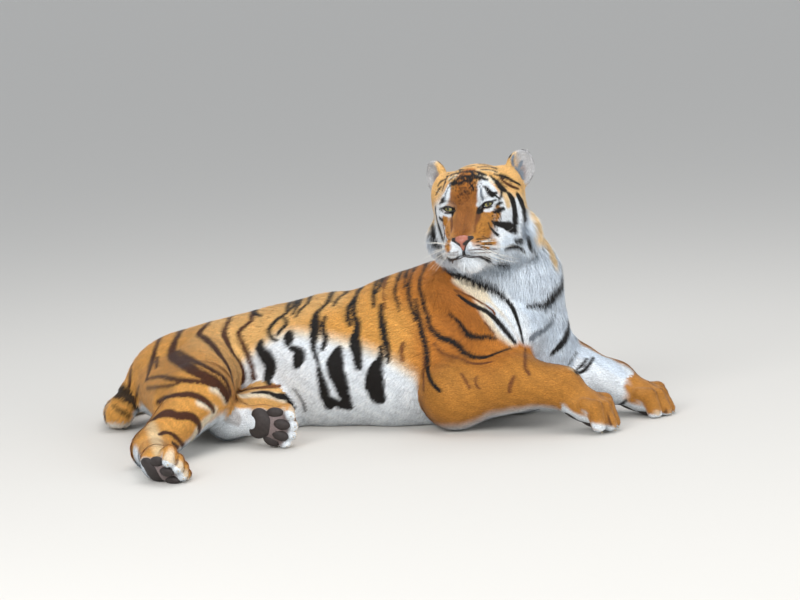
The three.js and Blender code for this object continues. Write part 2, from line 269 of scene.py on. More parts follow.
def head_field():
    skull = lump((0, 86, 16), (100, 112, 92))
    ear_root = lump((86, 82, 46), (40, 44, 46))
    forehead = lump((0, 22, 34), (70, 48, 54))
    brow = lump((42, -2, 27), (36, 24, 17), (0, 0, -14))
    temple = lump((86, 82, 4), (54, 62, 68))
    cheekbone = lump((68, 50, -32), (50, 70, 56))
    bridge = bone((12, 2, -8), (15, -84, -72), 32, 25)
    maxilla = lump((40, -34, -62), (30, 44, 36))
    muzzle = lump((0, -58, -100), (56, 50, 42))
    whisker_pad = lump((29, -80, -102), (34, 36, 31), (0, 0, 16))
    flew = bone((42, -74, -118), (52, -52, -142), 19, 15)
    chin = lump((0, -66, -142), (36, 36, 27))
    jaw = bone((22, -46, -124), (72, 60, -98), 32, 50)
    throat = lump((0, 70, -106), (104, 86, 72))
    ruff = lump((106, 68, -100), (62, 54, 82), (0, 10, 0))
    socket = lump((HALF_SPACING + 3, -30, 0), (25, 22, 14), (0, 0, -20))
    mass = blend(34, skull, forehead, paired(ear_root), paired(temple), paired(cheekbone), throat,
                 paired(ruff), paired(jaw))
    face = blend(18, mass, paired(bridge), paired(maxilla), muzzle, paired(brow))
    lips = blend(12, face, paired(whisker_pad), paired(flew), chin)
    whole = dent(8, lips, paired(socket))
    deep = lambda p: whole(p) + head_depth(p)
    lids = lump(EYE, LID_RADII)
    opening = lump(EYE + OPENING_PLACE, OPENING_RADII, (0, OPENING_SLANT, 0))
    corner = limb(2, [EYE + p for p in TEAR_CORNER], [3.5, 3, 2])
    folds = dent(2, dent(2, blend(6, deep, paired(lids)), paired(opening)), paired(corner))
    philtrum = bone((0, -122, -98), (0, -117, -124), 2.6, 3)
    mouth = limb(2, MOUTH, [3, 3, 3.5, 4, 4, 4])
    nose_seat = bone((0, -112, -80), (0, -112, -92), 15, 8)
    return dent(3, dent(4, dent(3, folds, philtrum), paired(mouth)), nose_seat)


def ear_field():
    cup = dent(4, lump((0, 0, 0), (41, 23, 54)), lump((0, -19, 4), (35.5, 22, 47)))
    root = lump((-8, 6, -42), (24, 22, 22))
    whole = blend(14, cup, root)
    return paired(lambda p: whole((p - EAR_CENTRE) @ EAR_AXES.T))


# ---------------------------------------------------------------- the body


def shoulder_field(leg):
    return blend(70, limb(40, [leg["blade"], leg["shoulder"]], [72, 72]),
                 limb(40, [leg["shoulder"], leg["elbow"]], [72, 92]))


def forearm_field(leg):
    middle = 0.5 * (vec(leg["elbow"]) + vec(leg["wrist"])) + (0, 0, FOREARM_RISE)
    return limb(40, [leg["elbow"], middle, leg["wrist"]], [98, 84, 60])


def paw_axes(start, end, up):
    forward = unit(vec(end) - vec(start))
    side = unit(np.cross(forward, vec(up)))
    return np.array([side, forward, np.cross(side, forward)])


def toe_places(long, width, thick):
    """The root, knuckle and tip of each toe, in the paw's own frame."""
    for n in (-1.5, -0.5, 0.5, 1.5):
        outer = abs(n) > 1
        reach = long * (0.81 if outer else 0.92)
        drop = thick * (0.29 if outer else 0.22)
        yield (vec((n * width * 0.235, long * 0.48, thick * 0.03)),
               vec((n * width * 0.245, reach * 0.79, thick * 0.08)), vec((n * width * 0.25, reach, -drop)))


def paw_shape(long, width, thick):
    palm = lump((0, long * 0.52, -thick * 0.12), (width * 0.46, long * 0.42, thick * 0.44))
    root = bone((0, 0, 0), (0, long * 0.45, -thick * 0.08), thick * 0.52, thick * 0.4)
    toes = [limb(4, joints, [width * 0.15, width * 0.183, width * 0.163])
            for joints in toe_places(long, width, thick)]
    return blend(7, blend(24, palm, root), *toes)


def paw_field(start, end, up, width, thick, depth):
    whole = paw_shape(np.linalg.norm(vec(end) - vec(start)), width, thick)
    return placed(lambda p: whole(p) + depth, start, paw_axes(start, end, up))


def thigh_field(leg):
    thigh = limb(50, [leg["hip"], leg["knee"]], [104, 86])
    hamstring = bone(leg["seat"], vec(leg["knee"]) + (-66, 30, -20), 96, 82)
    return blend(60, thigh, hamstring)


def tail_field():
    places = curve_points(TAIL, 60)
    return limb(10, list(places), list(np.linspace(44, 27, len(places))))


def paws():
    """Name, start, end, upward direction and size of each paw."""
    for side, leg in FORELEG.items():
        yield f"forepaw_{side}", leg["wrist"], leg["toes"], PAW_UP["fore"], FOREPAW
    for side, leg in HINDLEG.items():
        yield f"hind_paw_{side}", leg["ball"], leg["toes"], PAW_UP["hind_" + side], HINDPAW


FAR_OUTSIDE = 70.0  # what a field is outside a region's box, and how far that box reaches past its node


class Part:
    """A region of the body: its field, its coat and the line that its hair follows."""

    def __init__(self, name, field, depth, length, lift, width, area, flow, droop=0.0):
        low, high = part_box(name)
        self.name, self.depth, self.length, self.lift = name, depth, length, lift
        self.width, self.area, self.flow, self.droop = width, area, flow, droop
        self.low, self.high = vec(low) * 1e3 - SHIFT - FAR_OUTSIDE, vec(high) * 1e3 - SHIFT + FAR_OUTSIDE
        self.field = (lambda p: field(p) + depth) if depth else field


PAW_COAT = 3


def all_parts():
    """Every region, with its coat: depth, then a tuft's length, lift in degrees, width and area of skin."""
    parts = []
    add = lambda *a, **k: parts.append(Part(*a, **k))
    trunk = blend(90, limb(80, SPINE, [126, 132, 124, 120, 122, 122, 108]),
                  limb(80, BELLY, [142, 150, 150, 140, 118]), lump((-620, 215, 128), (158, 120, 124)))
    neck = blend(70, limb(60, NAPE, [98, 112, 122]), limb(60, THROAT, [108, 118, 124]))
    head = head_field()
    ears = ear_field()
    add("trunk", trunk, 7, 19, 17, 2.5, 4.7, SPINE, droop=0.45)
    add("neck", neck, 10, 30, 20, 2.6, 4.7, NAPE, droop=0.5)
    add("head", lambda p: head(to_head(p)), 0, 12, 16, 1.6, 2.4, None)
    for side in ("left", "right"):
        add(f"ear_{side}", lambda p: ears(to_head(p)), 0, 9, 14, 1.5, 2.2, None)
    for side, leg in FORELEG.items():
        bones = [leg["blade"], leg["shoulder"], leg["elbow"]]
        add(f"shoulder_{side}", shoulder_field(leg), 6, 16, 15, 2.3, 4.4, bones, droop=0.2)
        paw = paw_field(leg["wrist"], leg["toes"], PAW_UP["fore"], **FOREPAW, depth=PAW_COAT)
        add(f"forearm_{side}", forearm_field(leg), 4.5, 13, 14, 2.0, 3.8, [leg["elbow"], leg["wrist"]])
        add(f"forepaw_{side}", paw, 0, 8, 13, 1.6, 2.7, [leg["wrist"], leg["toes"]])
    for side, leg in HINDLEG.items():
        paw = paw_field(leg["ball"], leg["toes"], PAW_UP["hind_" + side], **HINDPAW, depth=PAW_COAT)
        foot = limb(20, [leg["hock"], leg["ball"]], [46, 40])
        add(f"thigh_{side}", thigh_field(leg), 7, 18, 16, 2.4, 4.6, HAUNCH_FLOW, droop=0.1)
        add(f"shank_{side}", limb(30, [leg["knee"], leg["hock"]], [84, 54]), 5, 14, 15, 2.1, 4.0,
            [leg["knee"], leg["hock"]])
        add(f"hind_paw_{side}", blend(24, paw, foot), 0, 9, 13, 1.7, 2.9,
            [leg["hock"], leg["ball"], leg["toes"]])
    add("tail", tail_field(), 8, 24, 18, 2.4, 4.4, TAIL)
    return parts


PARTS = all_parts()
PART_NAMES = [part.name for part in PARTS]
FLOOR_CLEARANCE = 2.0
FLOOR_FILLET = 4
BODY_FILLET = 34
EAR_FILLET = 6


def skin_field(points, with_part=False):
    """The skin's field at these points, and the number of the region that each is nearest to."""
    value = np.full(len(points), FAR_OUTSIDE)
    nearest = np.full(len(points), FAR_OUTSIDE)
    owner = np.zeros(len(points), int)
    for n, part in enumerate(PARTS):
        near = np.nonzero(((points > part.low) & (points < part.high)).all(1))[0]
        if not len(near):
            continue
        d = part.field(points[near])
        fillet = EAR_FILLET if part.name.startswith("ear") else BODY_FILLET
        value[near] = merge(value[near], d, fillet)
        closer = d < nearest[near]
        owner[near[closer]] = n
        nearest[near[closer]] = d[closer]
    flat = FLOOR_CLEARANCE - points[:, 2]
    value = -merge(-value, -flat, FLOOR_FILLET)
    return (value, owner) if with_part else value


# ---------------------------------------------------------------- meshes


def outward(places, faces):
    """The faces with their order reversed where the shape would be inside out."""
    a, b, c = (places[faces[:, k]] for k in (0, 1, 2))
    volume = np.einsum("ij,ij->i", a, np.cross(b, c)).sum()
    if faces.shape[1] == 4:
        d = places[faces[:, 3]]
        volume += np.einsum("ij,ij->i", a, np.cross(c, d)).sum()
    return faces if volume > 0 else faces[:, ::-1]


def isosurface(field, low, high, step):
    """The closed surface of a field inside a box, as places and four-sided faces."""
    low, high = vec(low), vec(high)
    axes = [np.arange(low[k], high[k] + step, step) for k in range(3)]
    shape = [len(a) for a in axes]
    values = np.empty(shape, np.float32)
    for i, x in enumerate(axes[0]):
        y, z = np.meshgrid(axes[1], axes[2], indexing="ij")
        plane = np.column_stack([np.full(y.size, x), y.ravel(), z.ravel()])
        values[i] = field(plane).reshape(shape[1:])
    limit = 3 * step
    values = np.clip(values, -limit, limit)
    grid = openvdb.FloatGrid(limit)
    grid.copyFromArray(values)
    places, quads = grid.convertToQuads(0)
    places = low + np.asarray(places, float) * step
    return places, outward(places, np.asarray(quads).astype(int))


def in_scene(name, data):
    """A new object that holds this data, linked to the scene."""
    thing = bpy.data.objects.new(name, data)
    bpy.context.scene.collection.objects.link(thing)
    return thing


def mesh_object(name, places, faces, material):
    """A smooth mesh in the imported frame, from places in the animal's."""
    mesh = bpy.data.meshes.new(name)
    faces = np.asarray(faces)
    mesh.vertices.add(len(places))
    mesh.vertices.foreach_set("co", to_row(places).astype(np.float32).ravel())
    mesh.loops.add(faces.size)
    mesh.loops.foreach_set("vertex_index", faces.astype(np.int32).ravel())
    mesh.polygons.add(len(faces))
    mesh.polygons.foreach_set("loop_start", (np.arange(len(faces)) * faces.shape[1]).astype(np.int32))
    mesh.update(calc_edges=True)
    mesh.polygons.foreach_set("use_smooth", np.full(len(faces), True))
    mesh.materials.append(material)
    return in_scene(name, mesh)


def show(thing, slot, *replaced):
    """Fixes a piece to the body and hides the imported nodes that it stands for. Its slot is not used."""
    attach(thing, "root")
    if replaced:
        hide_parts(*replaced)


VALUE_KEYS = {"FLOAT": "value", "FLOAT_VECTOR": "vector", "FLOAT_COLOR": "color"}


def give(mesh, name, kind, values):
    """Gives a mesh a named value for each corner."""
    made = mesh.attributes.new(name, kind, "POINT")
    made.data.foreach_set(VALUE_KEYS[kind], np.asarray(values, np.float32).ravel())


def tint(thing, colours):
    """Gives a mesh its linear colours, one for each corner."""
    give(thing.data, "coat", "FLOAT_COLOR", np.column_stack([colours, np.ones(len(colours))]))


def one_colour(places, hexa):
    return np.tile(linear(hexa), (len(places), 1))


def piece(name, places, faces, material, colours, slot, *replaced):
    """A coloured mesh, fixed to the body."""
    thing = mesh_object(name, places, faces, material)
    tint(thing, colours)
    show(thing, slot, *replaced)


def triangles(quads):
    quads = np.asarray(quads)
    return np.vstack([quads[:, [0, 1, 2]], quads[:, [0, 2, 3]]])


def revolved(rings):
    """Triangles over rings of places, the first and last ring each drawn together to a point."""
    count, sides = rings.shape[:2]
    i, j = np.meshgrid(np.arange(count - 1), np.arange(sides), indexing="ij")
    a, b = i * sides + j, i * sides + (j + 1) % sides
    quads = np.stack([a, b, b + sides, a + sides], -1).reshape(-1, 4)
    places = np.vstack([rings.reshape(-1, 3), rings[0].mean(0), rings[-1].mean(0)])
    first = [(len(places) - 2, (k + 1) % sides, k) for k in range(sides)]
    end = (count - 1) * sides
    last = [(len(places) - 1, end + k, end + (k + 1) % sides) for k in range(sides)]
    faces = np.vstack([triangles(quads), first, last])
    return places, outward(places, faces)


def tube(points, radii, facing, sides=10):
    """A closed round tube along points that never run the way it faces."""
    points = vec(points)
    ahead = unit(np.gradient(points, axis=0))
    across = unit(np.cross(ahead, vec(facing)))
    up = np.cross(across, ahead)
    turn = (2 * math.pi * np.arange(sides) / sides)[None, :, None]
    radii = np.interp(np.linspace(0, 1, len(points)), np.linspace(0, 1, len(radii)), radii)
    spokes = np.cos(turn) * across[:, None] + np.sin(turn) * up[:, None]
    return revolved(points[:, None] + radii[:, None, None] * spokes)


def joined(shapes):
    """Several (places, triangles) as one."""
    places, faces, start = [], [], 0
    for p, f in shapes:
        places.append(p)
        faces.append(np.asarray(f) + start)
        start += len(p)
    return np.vstack(places), np.vstack(faces)


def gradient(field, points, reach=0.7):
    steps = np.eye(3) * reach
    return np.column_stack([(field(points + s) - field(points - s)) / (2 * reach) for s in steps])


def settle(field, points, rounds, most=3.0):
    """Moves points onto the surface of a field."""
    for _ in range(rounds):
        g = gradient(field, points)
        push = -field(points)[:, None] * g / np.maximum((g * g).sum(1), 0.2)[:, None]
        length = np.linalg.norm(push, axis=1, keepdims=True)
        points = points + push * np.minimum(1, most / np.maximum(length, 1e-9))
    return points


# The face, where the skin is finest: its half width, and how far back, up and down it reaches
# from between the eyes.
FACE_HALF = 92
FACE_BACK = 14
FACE_TOP = 60
FACE_FOOT = -165
SKIN_MARGIN = 20  # of the skin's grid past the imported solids


def make_skin():
    """The places and triangles of the whole skin, finer on the head and paws and finest on the face."""
    low, high = (vec(corner) * 1e3 - SHIFT for corner in cad_box)
    places, quads = isosurface(skin_field, low - SKIN_MARGIN, high + SKIN_MARGIN, SKIN_STEP)
    mesh = bmesh.new()
    for p in places:
        mesh.verts.new(p)
    mesh.verts.ensure_lookup_table()
    for q in quads.tolist():
        mesh.faces.new([mesh.verts[i] for i in q])

    def on(co, *starts):
        """Which places lie on the regions whose names start so."""
        owner = skin_field(co, with_part=True)[1]
        return np.array([name.startswith(starts) for name in PART_NAMES])[owner]

    def head_and_paws(co):
        return on(co, "head", "ear", "forepaw", "hind_paw")

    def face(co):
        x, y, z = to_head(co).T
        return on(co, "head") & (abs(x) < FACE_HALF) & (y < FACE_BACK) & (z < FACE_TOP) & (z > FACE_FOOT)

    for wanted, rounds in ((head_and_paws, 2), (face, 3)):
        mesh.verts.ensure_lookup_table()
        picked = wanted(np.array([v.co for v in mesh.verts]))
        edges = [e for e in mesh.edges if picked[e.verts[0].index] and picked[e.verts[1].index]]
        bmesh.ops.subdivide_edges(mesh, edges=edges, cuts=1, use_grid_fill=True)
        mesh.verts.index_update()
        settled = settle(skin_field, np.array([v.co for v in mesh.verts]), rounds)
        for v, p in zip(mesh.verts, settled):
            v.co = p
    bmesh.ops.triangulate(mesh, faces=[f for f in mesh.faces if len(f.verts) > 3])
    mesh.verts.index_update()
    faces = np.array([[v.index for v in f.verts] for f in mesh.faces])
    places = np.array([v.co for v in mesh.verts])
    mesh.free()
    return places, faces


# ---------------------------------------------------------------- camera


def camera_axes():
    e = math.radians(CAMERA_ELEVATION)
    ahead = np.array([0, math.cos(e), -math.sin(e)])
    right = np.array([1.0, 0, 0])
    return right, np.cross(right, ahead), ahead


RIGHT, UP, AHEAD = camera_axes()
CARD_MIDDLE = (AIM[0], AIM[2] * math.cos(math.radians(CAMERA_ELEVATION)))
EYE_POINT = vec(AIM) - CAMERA_DISTANCE * AHEAD


def make_camera():
    roll = math.radians(CAMERA_ROLL)
    x = math.cos(roll) * RIGHT - math.sin(roll) * UP
    y = math.sin(roll) * RIGHT + math.cos(roll) * UP
    data = bpy.data.cameras.new("camera")
    data.sensor_width = SENSOR_WIDTH
    data.lens = SENSOR_WIDTH * CAMERA_DISTANCE / VIEW_WIDTH
    data.clip_end = 200
    camera = in_scene("camera", data)
    place = to_row(EYE_POINT)
    camera.matrix_world = Matrix([[x[k], y[k], -AHEAD[k], place[k]] for k in range(3)] + [[0, 0, 0, 1]])
    bpy.context.scene.camera = camera


# ---------------------------------------------------------------- materials


def linear(hexa):
    """An sRGB hex colour as a linear one."""
    c = np.array([int(hexa[i : i + 2], 16) for i in (1, 3, 5)]) / 255
    return np.where(c <= 0.04045, c / 12.92, ((c + 0.055) / 1.055) ** 2.4)


def add_node(tree, kind, links=(), **settings):
    """A node, with what it is set to and its links as pairs of an output and an input.

    A setting that isn't one of the node's own is the value of the input of that name."""
    node = tree.nodes.new(kind)
    for key, value in settings.items():
        if hasattr(node, key):
            setattr(node, key, value)
        else:
            node.inputs[key.replace("_", " ")].default_value = value
    for source, target in links:
        tree.links.new(source, node.inputs[target])
    return node


def new_material(name):
    material = bpy.data.materials.new(name)
    material.use_nodes = True
    tree = material.node_tree
    tree.nodes.clear()
    return material, tree


def finish_material(tree, links=(), **settings):
    """Ends a material with a surface shader."""
    shader = add_node(tree, "ShaderNodeBsdfPrincipled", links, **settings)
    add_node(tree, "ShaderNodeOutputMaterial", [(shader.outputs[0], "Surface")])


def noise(tree, vector, scale, detail):
    return add_node(tree, "ShaderNodeTexNoise", [(vector, "Vector")], Scale=scale,
                    Detail=detail).outputs["Fac"]


def toned(tree, colour, noise_value, least, most):
    """A colour made darker and lighter by a noise."""
    tone = add_node(tree, "ShaderNodeMapRange", [(noise_value, "Value")],
                    From_Min=0.3, From_Max=0.7, To_Min=least, To_Max=most)
    return add_node(tree, "ShaderNodeVectorMath", [(colour, 0), (tone.outputs["Result"], "Scale")],
                    operation="SCALE").outputs["Vector"]


def bumped(tree, height, strength, depth):
    """The way the surface faces under a relief this many metres deep."""
    return add_node(tree, "ShaderNodeBump", [(height, "Height")], Strength=strength,
                    Distance=depth).outputs["Normal"]


def fur_material(name, bump):
    """Tiger hair: dry, fine and a little glossy along each hair."""
    material, tree = new_material(name)
    painted = add_node(tree, "ShaderNodeAttribute", attribute_name="coat").outputs["Color"]
    place = add_node(tree, "ShaderNodeTexCoord").outputs["Object"]
    shade = toned(tree, painted, noise(tree, place, 260.0, 3.0), 0.84, 1.14)
    relief = bumped(tree, noise(tree, place, 900.0, 2.0), bump, 0.0006)
    finish_material(tree, [(shade, "Base Color"), (relief, "Normal")], Roughness=0.62, IOR=1.45,
                    Specular_IOR_Level=0.25, Sheen_Weight=0.12, Sheen_Roughness=0.5)
    return material


# ---------------------------------------------------------------- floor and light

FLOOR_HALF = 60  # metres


def make_studio():
    """A plain pale floor under broad soft lamps."""
    data = bpy.data.meshes.new("floor")
    far = FLOOR_HALF
    data.from_pydata([(-far, -far, 0), (far, -far, 0), (far, far, 0), (-far, far, 0)], [], [(0, 1, 2, 3)])
    floor = in_scene("floor", data)
    material, tree = new_material("matt_studio_paint")
    finish_material(tree, Roughness=0.9, Base_Color=(*linear("#CFCCC6"), 1))
    data.materials.append(material)

    def lamp(name, place, target, size, watts):
        light = bpy.data.lights.new(name, "AREA")
        light.energy, light.size = watts, size
        thing = in_scene(name, light)
        thing.location = place
        thing.rotation_mode = "QUATERNION"
        thing.rotation_quaternion = (Vector(target) - Vector(place)).to_track_quat("-Z", "Y")

    lamp("key_lamp", (-2.2, -4.2, 3.1), (0, 0, 0.3), 2.6, 168)
    lamp("fill_lamp", (3.6, -3.2, 2.0), (0.2, 0, 0.3), 3.0, 98)
    lamp("top_lamp", (0.2, 0.8, 4.2), (0, 0, 0.2), 3.0, 72)
    world = bpy.data.worlds.new("studio")
    bpy.context.scene.world = world
    world.use_nodes = True
    sky = world.node_tree.nodes["Background"].inputs
    sky["Color"].default_value = (0.9, 0.94, 1.0, 1)
    sky["Strength"].default_value = 0.7
    bpy.context.scene.view_settings.view_transform = "Standard"


# ---------------------------------------------------------------- markings
#
# A mark is a line of places across and up the upright card that the camera looks square at,
# through its aim, in millimetres. It is cast from the camera onto the skin, and paints what
# lies near it there.

# Inks of the coat. The bluish white ink is white fur painted as it looks in shade, on the chest, throat,
# ruff and inner foreleg; "shade" is a darker painted shade under the chin and on the ruff; "white" is the
# white fur, with a faint painted blue of sky light.
INK = {name: linear(value) for name, value in {
    "amber": "#BB7429", "rust": "#A66423", "tan": "#B67B32", "golden": "#D89D4B", "honey": "#DFB06B",
    "bridge": "#935A24", "straw": "#E3C594", "cream": "#EADCC2", "white": "#E8EEF3", "cool": "#D5DFE9",
    "shade": "#A3AFBB", "ash": "#B9B8B8", "mauve": "#857674", "grey": "#7C858F", "umber": "#74441F",
    "brown": "#4C2710", "black": "#15110F",
}.items()}

# The ground colour of the coat: at each place on the body the nearest of these inks count most.
BODY_SWATCHES = [
    ("golden", (-690, 60, 200)), ("golden", (-600, -60, 170)), ("honey", (-480, 20, 220)),
    ("golden", (-640, -380, 90)),
    ("golden", (-620, -600, 60)), ("honey", (-400, 180, 330)), ("honey", (-200, 150, 350)),
    ("golden", (-150, 20, 260)),
    ("golden", (-40, 130, 380)), ("golden", (20, -20, 240)), ("amber", (90, 40, 400)),
    ("amber", (110, -70, 250)),
    ("rust", (190, -80, 380)), ("rust", (180, -110, 290)), ("amber", (270, -150, 230)),
    ("tan", (160, -200, 120)),
    ("tan", (330, -210, 130)), ("tan", (440, -230, 80)), ("tan", (600, -290, 40)), ("tan", (640, -30, 70)),
    ("golden", (250, 160, 400)), ("amber", (260, 90, 560)), ("golden", (-790, 200, 50)),
    ("golden", (-500, 480, 30)),
]
# The same on the head, in its own frame, on both sides.
HEAD_SWATCHES = [
    ("bridge", (0, -60, -30)), ("bridge", (0, -26, 20)), ("tan", (0, 4, 70)), ("golden", (0, 70, 108)),
    ("honey", (60, 50, 96)),
    ("tan", (46, -40, -34)), ("honey", (104, 60, 30)), ("honey", (110, 120, 0)), ("golden", (60, 170, 60)),
    ("white", (86, 4, -30)), ("white", (88, 10, -70)), ("straw", (118, 70, -30)), ("cool", (120, 60, -120)),
    ("white", (0, -50, -160)), ("tan", (36, -84, -88)), ("white", (32, -84, -122)), ("cool", (0, 80, -160)),
    ("honey", (0, 190, -20)),
]

# Broad grounds: ink, radii along the line, softness of the edge, and the line.
BODY_GROUNDS = [
    ("cream", (34, 56, 64, 60, 54, 44, 30), 26,
     [(-452, 140), (-385, 172), (-310, 226), (-230, 216), (-150, 196), (-60, 166), (22, 124)]),
    ("white", (40, 62, 66, 62, 56, 46, 30), 20,
     [(-452, 124), (-385, 154), (-310, 204), (-230, 192), (-150, 172), (-60, 144), (22, 108)]),
    ("white", (70, 90, 90, 70), 16, [(-400, 110), (-260, 110), (-120, 80), (10, 60)]),
]
CHEST_GROUNDS = [
    ("cream", (8, 24, 28, 30, 24), 8, [(176, 396), (220, 378), (262, 352), (296, 316), (318, 262)]),
    ("white", (20, 40, 60, 60, 44), 8, [(236, 412), (290, 390), (336, 350), (366, 300), (376, 250)]),
    ("cream", (14, 20, 24, 24, 16), 9, [(240, 344), (264, 306), (290, 270), (310, 242), (326, 222)]),
    ("white", (6, 12, 17, 17, 10), 7, [(262, 326), (284, 292), (304, 262), (320, 240), (334, 222)]),
    ("cool", (36, 84, 96, 96, 84, 60), 10,
     [(310, 440), (400, 410), (424, 350), (430, 290), (424, 240), (430, 200)]),
]
THROAT_GROUNDS = [
    ("cool", (50, 66, 60), 14, [(190, 446), (270, 440), (360, 450)]),
    ("cool", (30, 34, 34), 10, [(380, 520), (392, 470), (404, 420)]),
]
RIGHT_FORELEG_GROUNDS = [
    ("straw", (5, 8, 8, 7, 6, 6), 8,
     [(340, 206), (395, 190), (454, 160), (482, 134), (523, 108), (564, 76)]),
    ("white", (10, 16, 18, 17), 10, [(390, 16), (420, 10), (450, 4), (480, -2)]),
    ("white", (9, 9, 8, 7), 6, [(500, -12), (530, -25), (560, -35), (590, -39)]),
]
LEFT_FORELEG_GROUNDS = [
    ("white", (60, 60, 46), 18, [(500, 150), (560, 120), (596, 72)]),
    ("cool", (20, 24, 24, 14), 6, [(470, 200), (540, 170), (590, 144), (628, 112)]),
    ("tan", (8, 14, 18, 20, 16), 6, [(640, 76), (656, 60), (684, 42), (712, 28), (738, 22)]),
    ("white", (7, 7, 7), 5, [(690, -8), (722, -13), (752, -12)]),
]
RIGHT_HINDLEG_GROUNDS = [
    ("cream", (10, 12, 13, 12), 8, [(-520, 60), (-548, 38), (-572, 14), (-584, -8)]),
    ("white", (8, 10, 11, 12, 12), 6, [(-540, 30), (-566, 4), (-582, -24), (-590, -56), (-592, -84)]),
    ("straw", (14, 18, 14), 10, [(-700, 40), (-684, 0), (-680, -40)]),
    ("cream", (10, 12, 10), 8, [(-560, 92), (-536, 84), (-516, 70)]),
    ("cream", (10, 12, 10), 8, [(-520, 130), (-496, 118), (-486, 96)]),
]
LEFT_HINDLEG_GROUNDS = [
    ("honey", (20, 26, 24, 20), 8, [(-450, 116), (-400, 124), (-330, 120), (-280, 96)]),
    ("cream", (12, 14, 12), 6, [(-440, 104), (-380, 108), (-320, 92)]),
    ("white", (30, 42, 34, 20), 8, [(-456, 40), (-438, 32), (-424, 20), (-412, 4)]),
    ("ash", (20, 26, 18), 6, [(-494, 74), (-478, 60), (-456, 40)]),
]


def ribs(ink, *marks):
    return [(ink, *mark) for mark in marks]


HAUNCH_MARKS = ribs(
    "brown",
    ((7, 12, 12, 9), [(-460, 322), (-478, 290), (-474, 262), (-458, 225), (-440, 195), (-432, 165),
        (-436, 145)]),
    ((7, 14, 12, 6), [(-520, 312), (-548, 285), (-530, 268), (-510, 245), (-490, 215), (-475, 190),
        (-466, 160), (-462, 130)]),
    ((8, 9, 8), [(-400, 312), (-430, 290), (-438, 275), (-428, 250), (-415, 215), (-405, 180),
        (-402, 150)]),
    ((10, 20, 18, 12), [(-605, 285), (-622, 255), (-625, 225), (-600, 205), (-565, 180), (-535, 165),
        (-505, 145), (-485, 120), (-482, 100)]),
    ((6, 12, 10, 6), [(-610, 240), (-590, 225), (-560, 205), (-525, 185), (-490, 160), (-475, 130),
        (-472, 108)]),
    ((6, 10, 8), [(-700, 165), (-660, 170), (-620, 160), (-580, 155), (-540, 148), (-505, 135),
        (-488, 110)]),
    ((5, 6, 5), [(-700, 140), (-660, 142), (-630, 145), (-600, 155)]),
    ((8, 14, 14, 8), [(-672, 100), (-650, 112), (-610, 118), (-575, 115), (-545, 100), (-525, 80),
        (-520, 68)]),
    ((8, 22, 14, 14, 8), [(-695, 50), (-655, 68), (-620, 60), (-590, 58), (-570, 45), (-562, 25),
        (-565, 10)]),
    ((6, 9, 6), [(-675, 10), (-655, 15), (-635, 5), (-620, -10), (-608, -28)]),
    ((6, 6), [(-640, -15), (-625, -28)]),
    ((8, 10, 9), [(-665, 262), (-680, 225), (-690, 190), (-700, 165)]),
    ((6, 6), [(-668, 225), (-672, 195)]),
    ((6, 8, 6), [(-715, 245), (-735, 215), (-745, 180), (-748, 150)]),
    ((6, 5), [(-760, 190), (-768, 160)]),
    ((5, 5), [(-720, 150), (-735, 110)]),
)
FLANK_MARKS = ribs(
    "black",
    ((10, 26, 22, 8), [(-375, 255), (-380, 235), (-358, 200), (-352, 180), (-360, 160), (-365, 145),
        (-355, 130)]),
    ((6, 9, 9, 6), [(-300, 330), (-330, 310), (-352, 285), (-345, 262), (-332, 255)]),
    ((6, 9, 7), [(-310, 320), (-302, 300), (-318, 285), (-330, 270)]),
    ((12, 22, 14), [(-295, 275), (-298, 258), (-300, 245)]),
    ((10, 16, 26, 16), [(-292, 232), (-278, 225), (-270, 210), (-278, 185)]),
    ((9, 8), [(-390, 335), (-375, 325)]),
    ((6, 6), [(-280, 345), (-300, 330)]),
    ((7, 6), [(-265, 350), (-285, 325)]),
    ((6, 8, 6), [(-240, 352), (-262, 335), (-275, 318)]),
    ((7, 9, 20, 16, 10, 7), [(-184, 352), (-212, 328), (-222, 308), (-224, 280), (-228, 256), (-230, 224),
        (-224, 204), (-220, 188)]),
    ((7, 11, 9), [(-194, 312), (-202, 280), (-195, 252), (-206, 224)]),
    ((5, 14, 20, 18), [(-220, 184), (-218, 168), (-214, 140), (-208, 120), (-204, 92), (-196, 68)]),
    ((14, 18, 12), [(-192, 84), (-164, 68), (-140, 62)]),
    ((12, 34, 30, 24, 16), [(-158, 224), (-168, 200), (-172, 168), (-162, 136), (-156, 112), (-148, 84),
        (-140, 62)]),
    ((6, 8, 6), [(-134, 374), (-152, 364), (-170, 342)]),
    ((6, 11, 9), [(-88, 384), (-112, 356), (-126, 336), (-130, 308), (-126, 288)]),
    ((8, 12, 24, 16), [(-110, 340), (-112, 312), (-104, 296), (-106, 272), (-114, 244), (-110, 220),
        (-108, 200), (-106, 172)]),
    ((7, 9, 7), [(-50, 390), (-54, 364), (-55, 336)]),
    ((6, 6), [(-36, 390), (-46, 372)]),
    ((8, 14, 13, 8), [(-36, 338), (-36, 308), (-33, 272), (-30, 244), (-24, 216), (-24, 180)]),
    ((8, 14, 30, 38, 28), [(-44, 220), (-44, 192), (-58, 164), (-64, 136), (-64, 108), (-56, 84)]),
    ((5, 7, 6, 4), [(16, 404), (8, 388), (6, 364), (12, 340), (14, 320)]),
    ((5, 8, 7, 6), [(60, 428), (48, 400), (44, 368), (46, 344), (52, 316), (58, 292)]),
    ((4, 4), [(38, 412), (34, 384)]),
    ((6, 11, 10, 7), [(62, 348), (64, 320), (70, 292), (74, 260), (82, 224), (86, 192), (86, 160),
        (88, 136), (98, 112), (116, 92)]),
) + ribs(
    "umber",
    ((4, 4), [(-24, 388), (-26, 364), (-24, 328)]),
    ((7, 8, 7), [(20, 228), (14, 204), (16, 180)]),
)
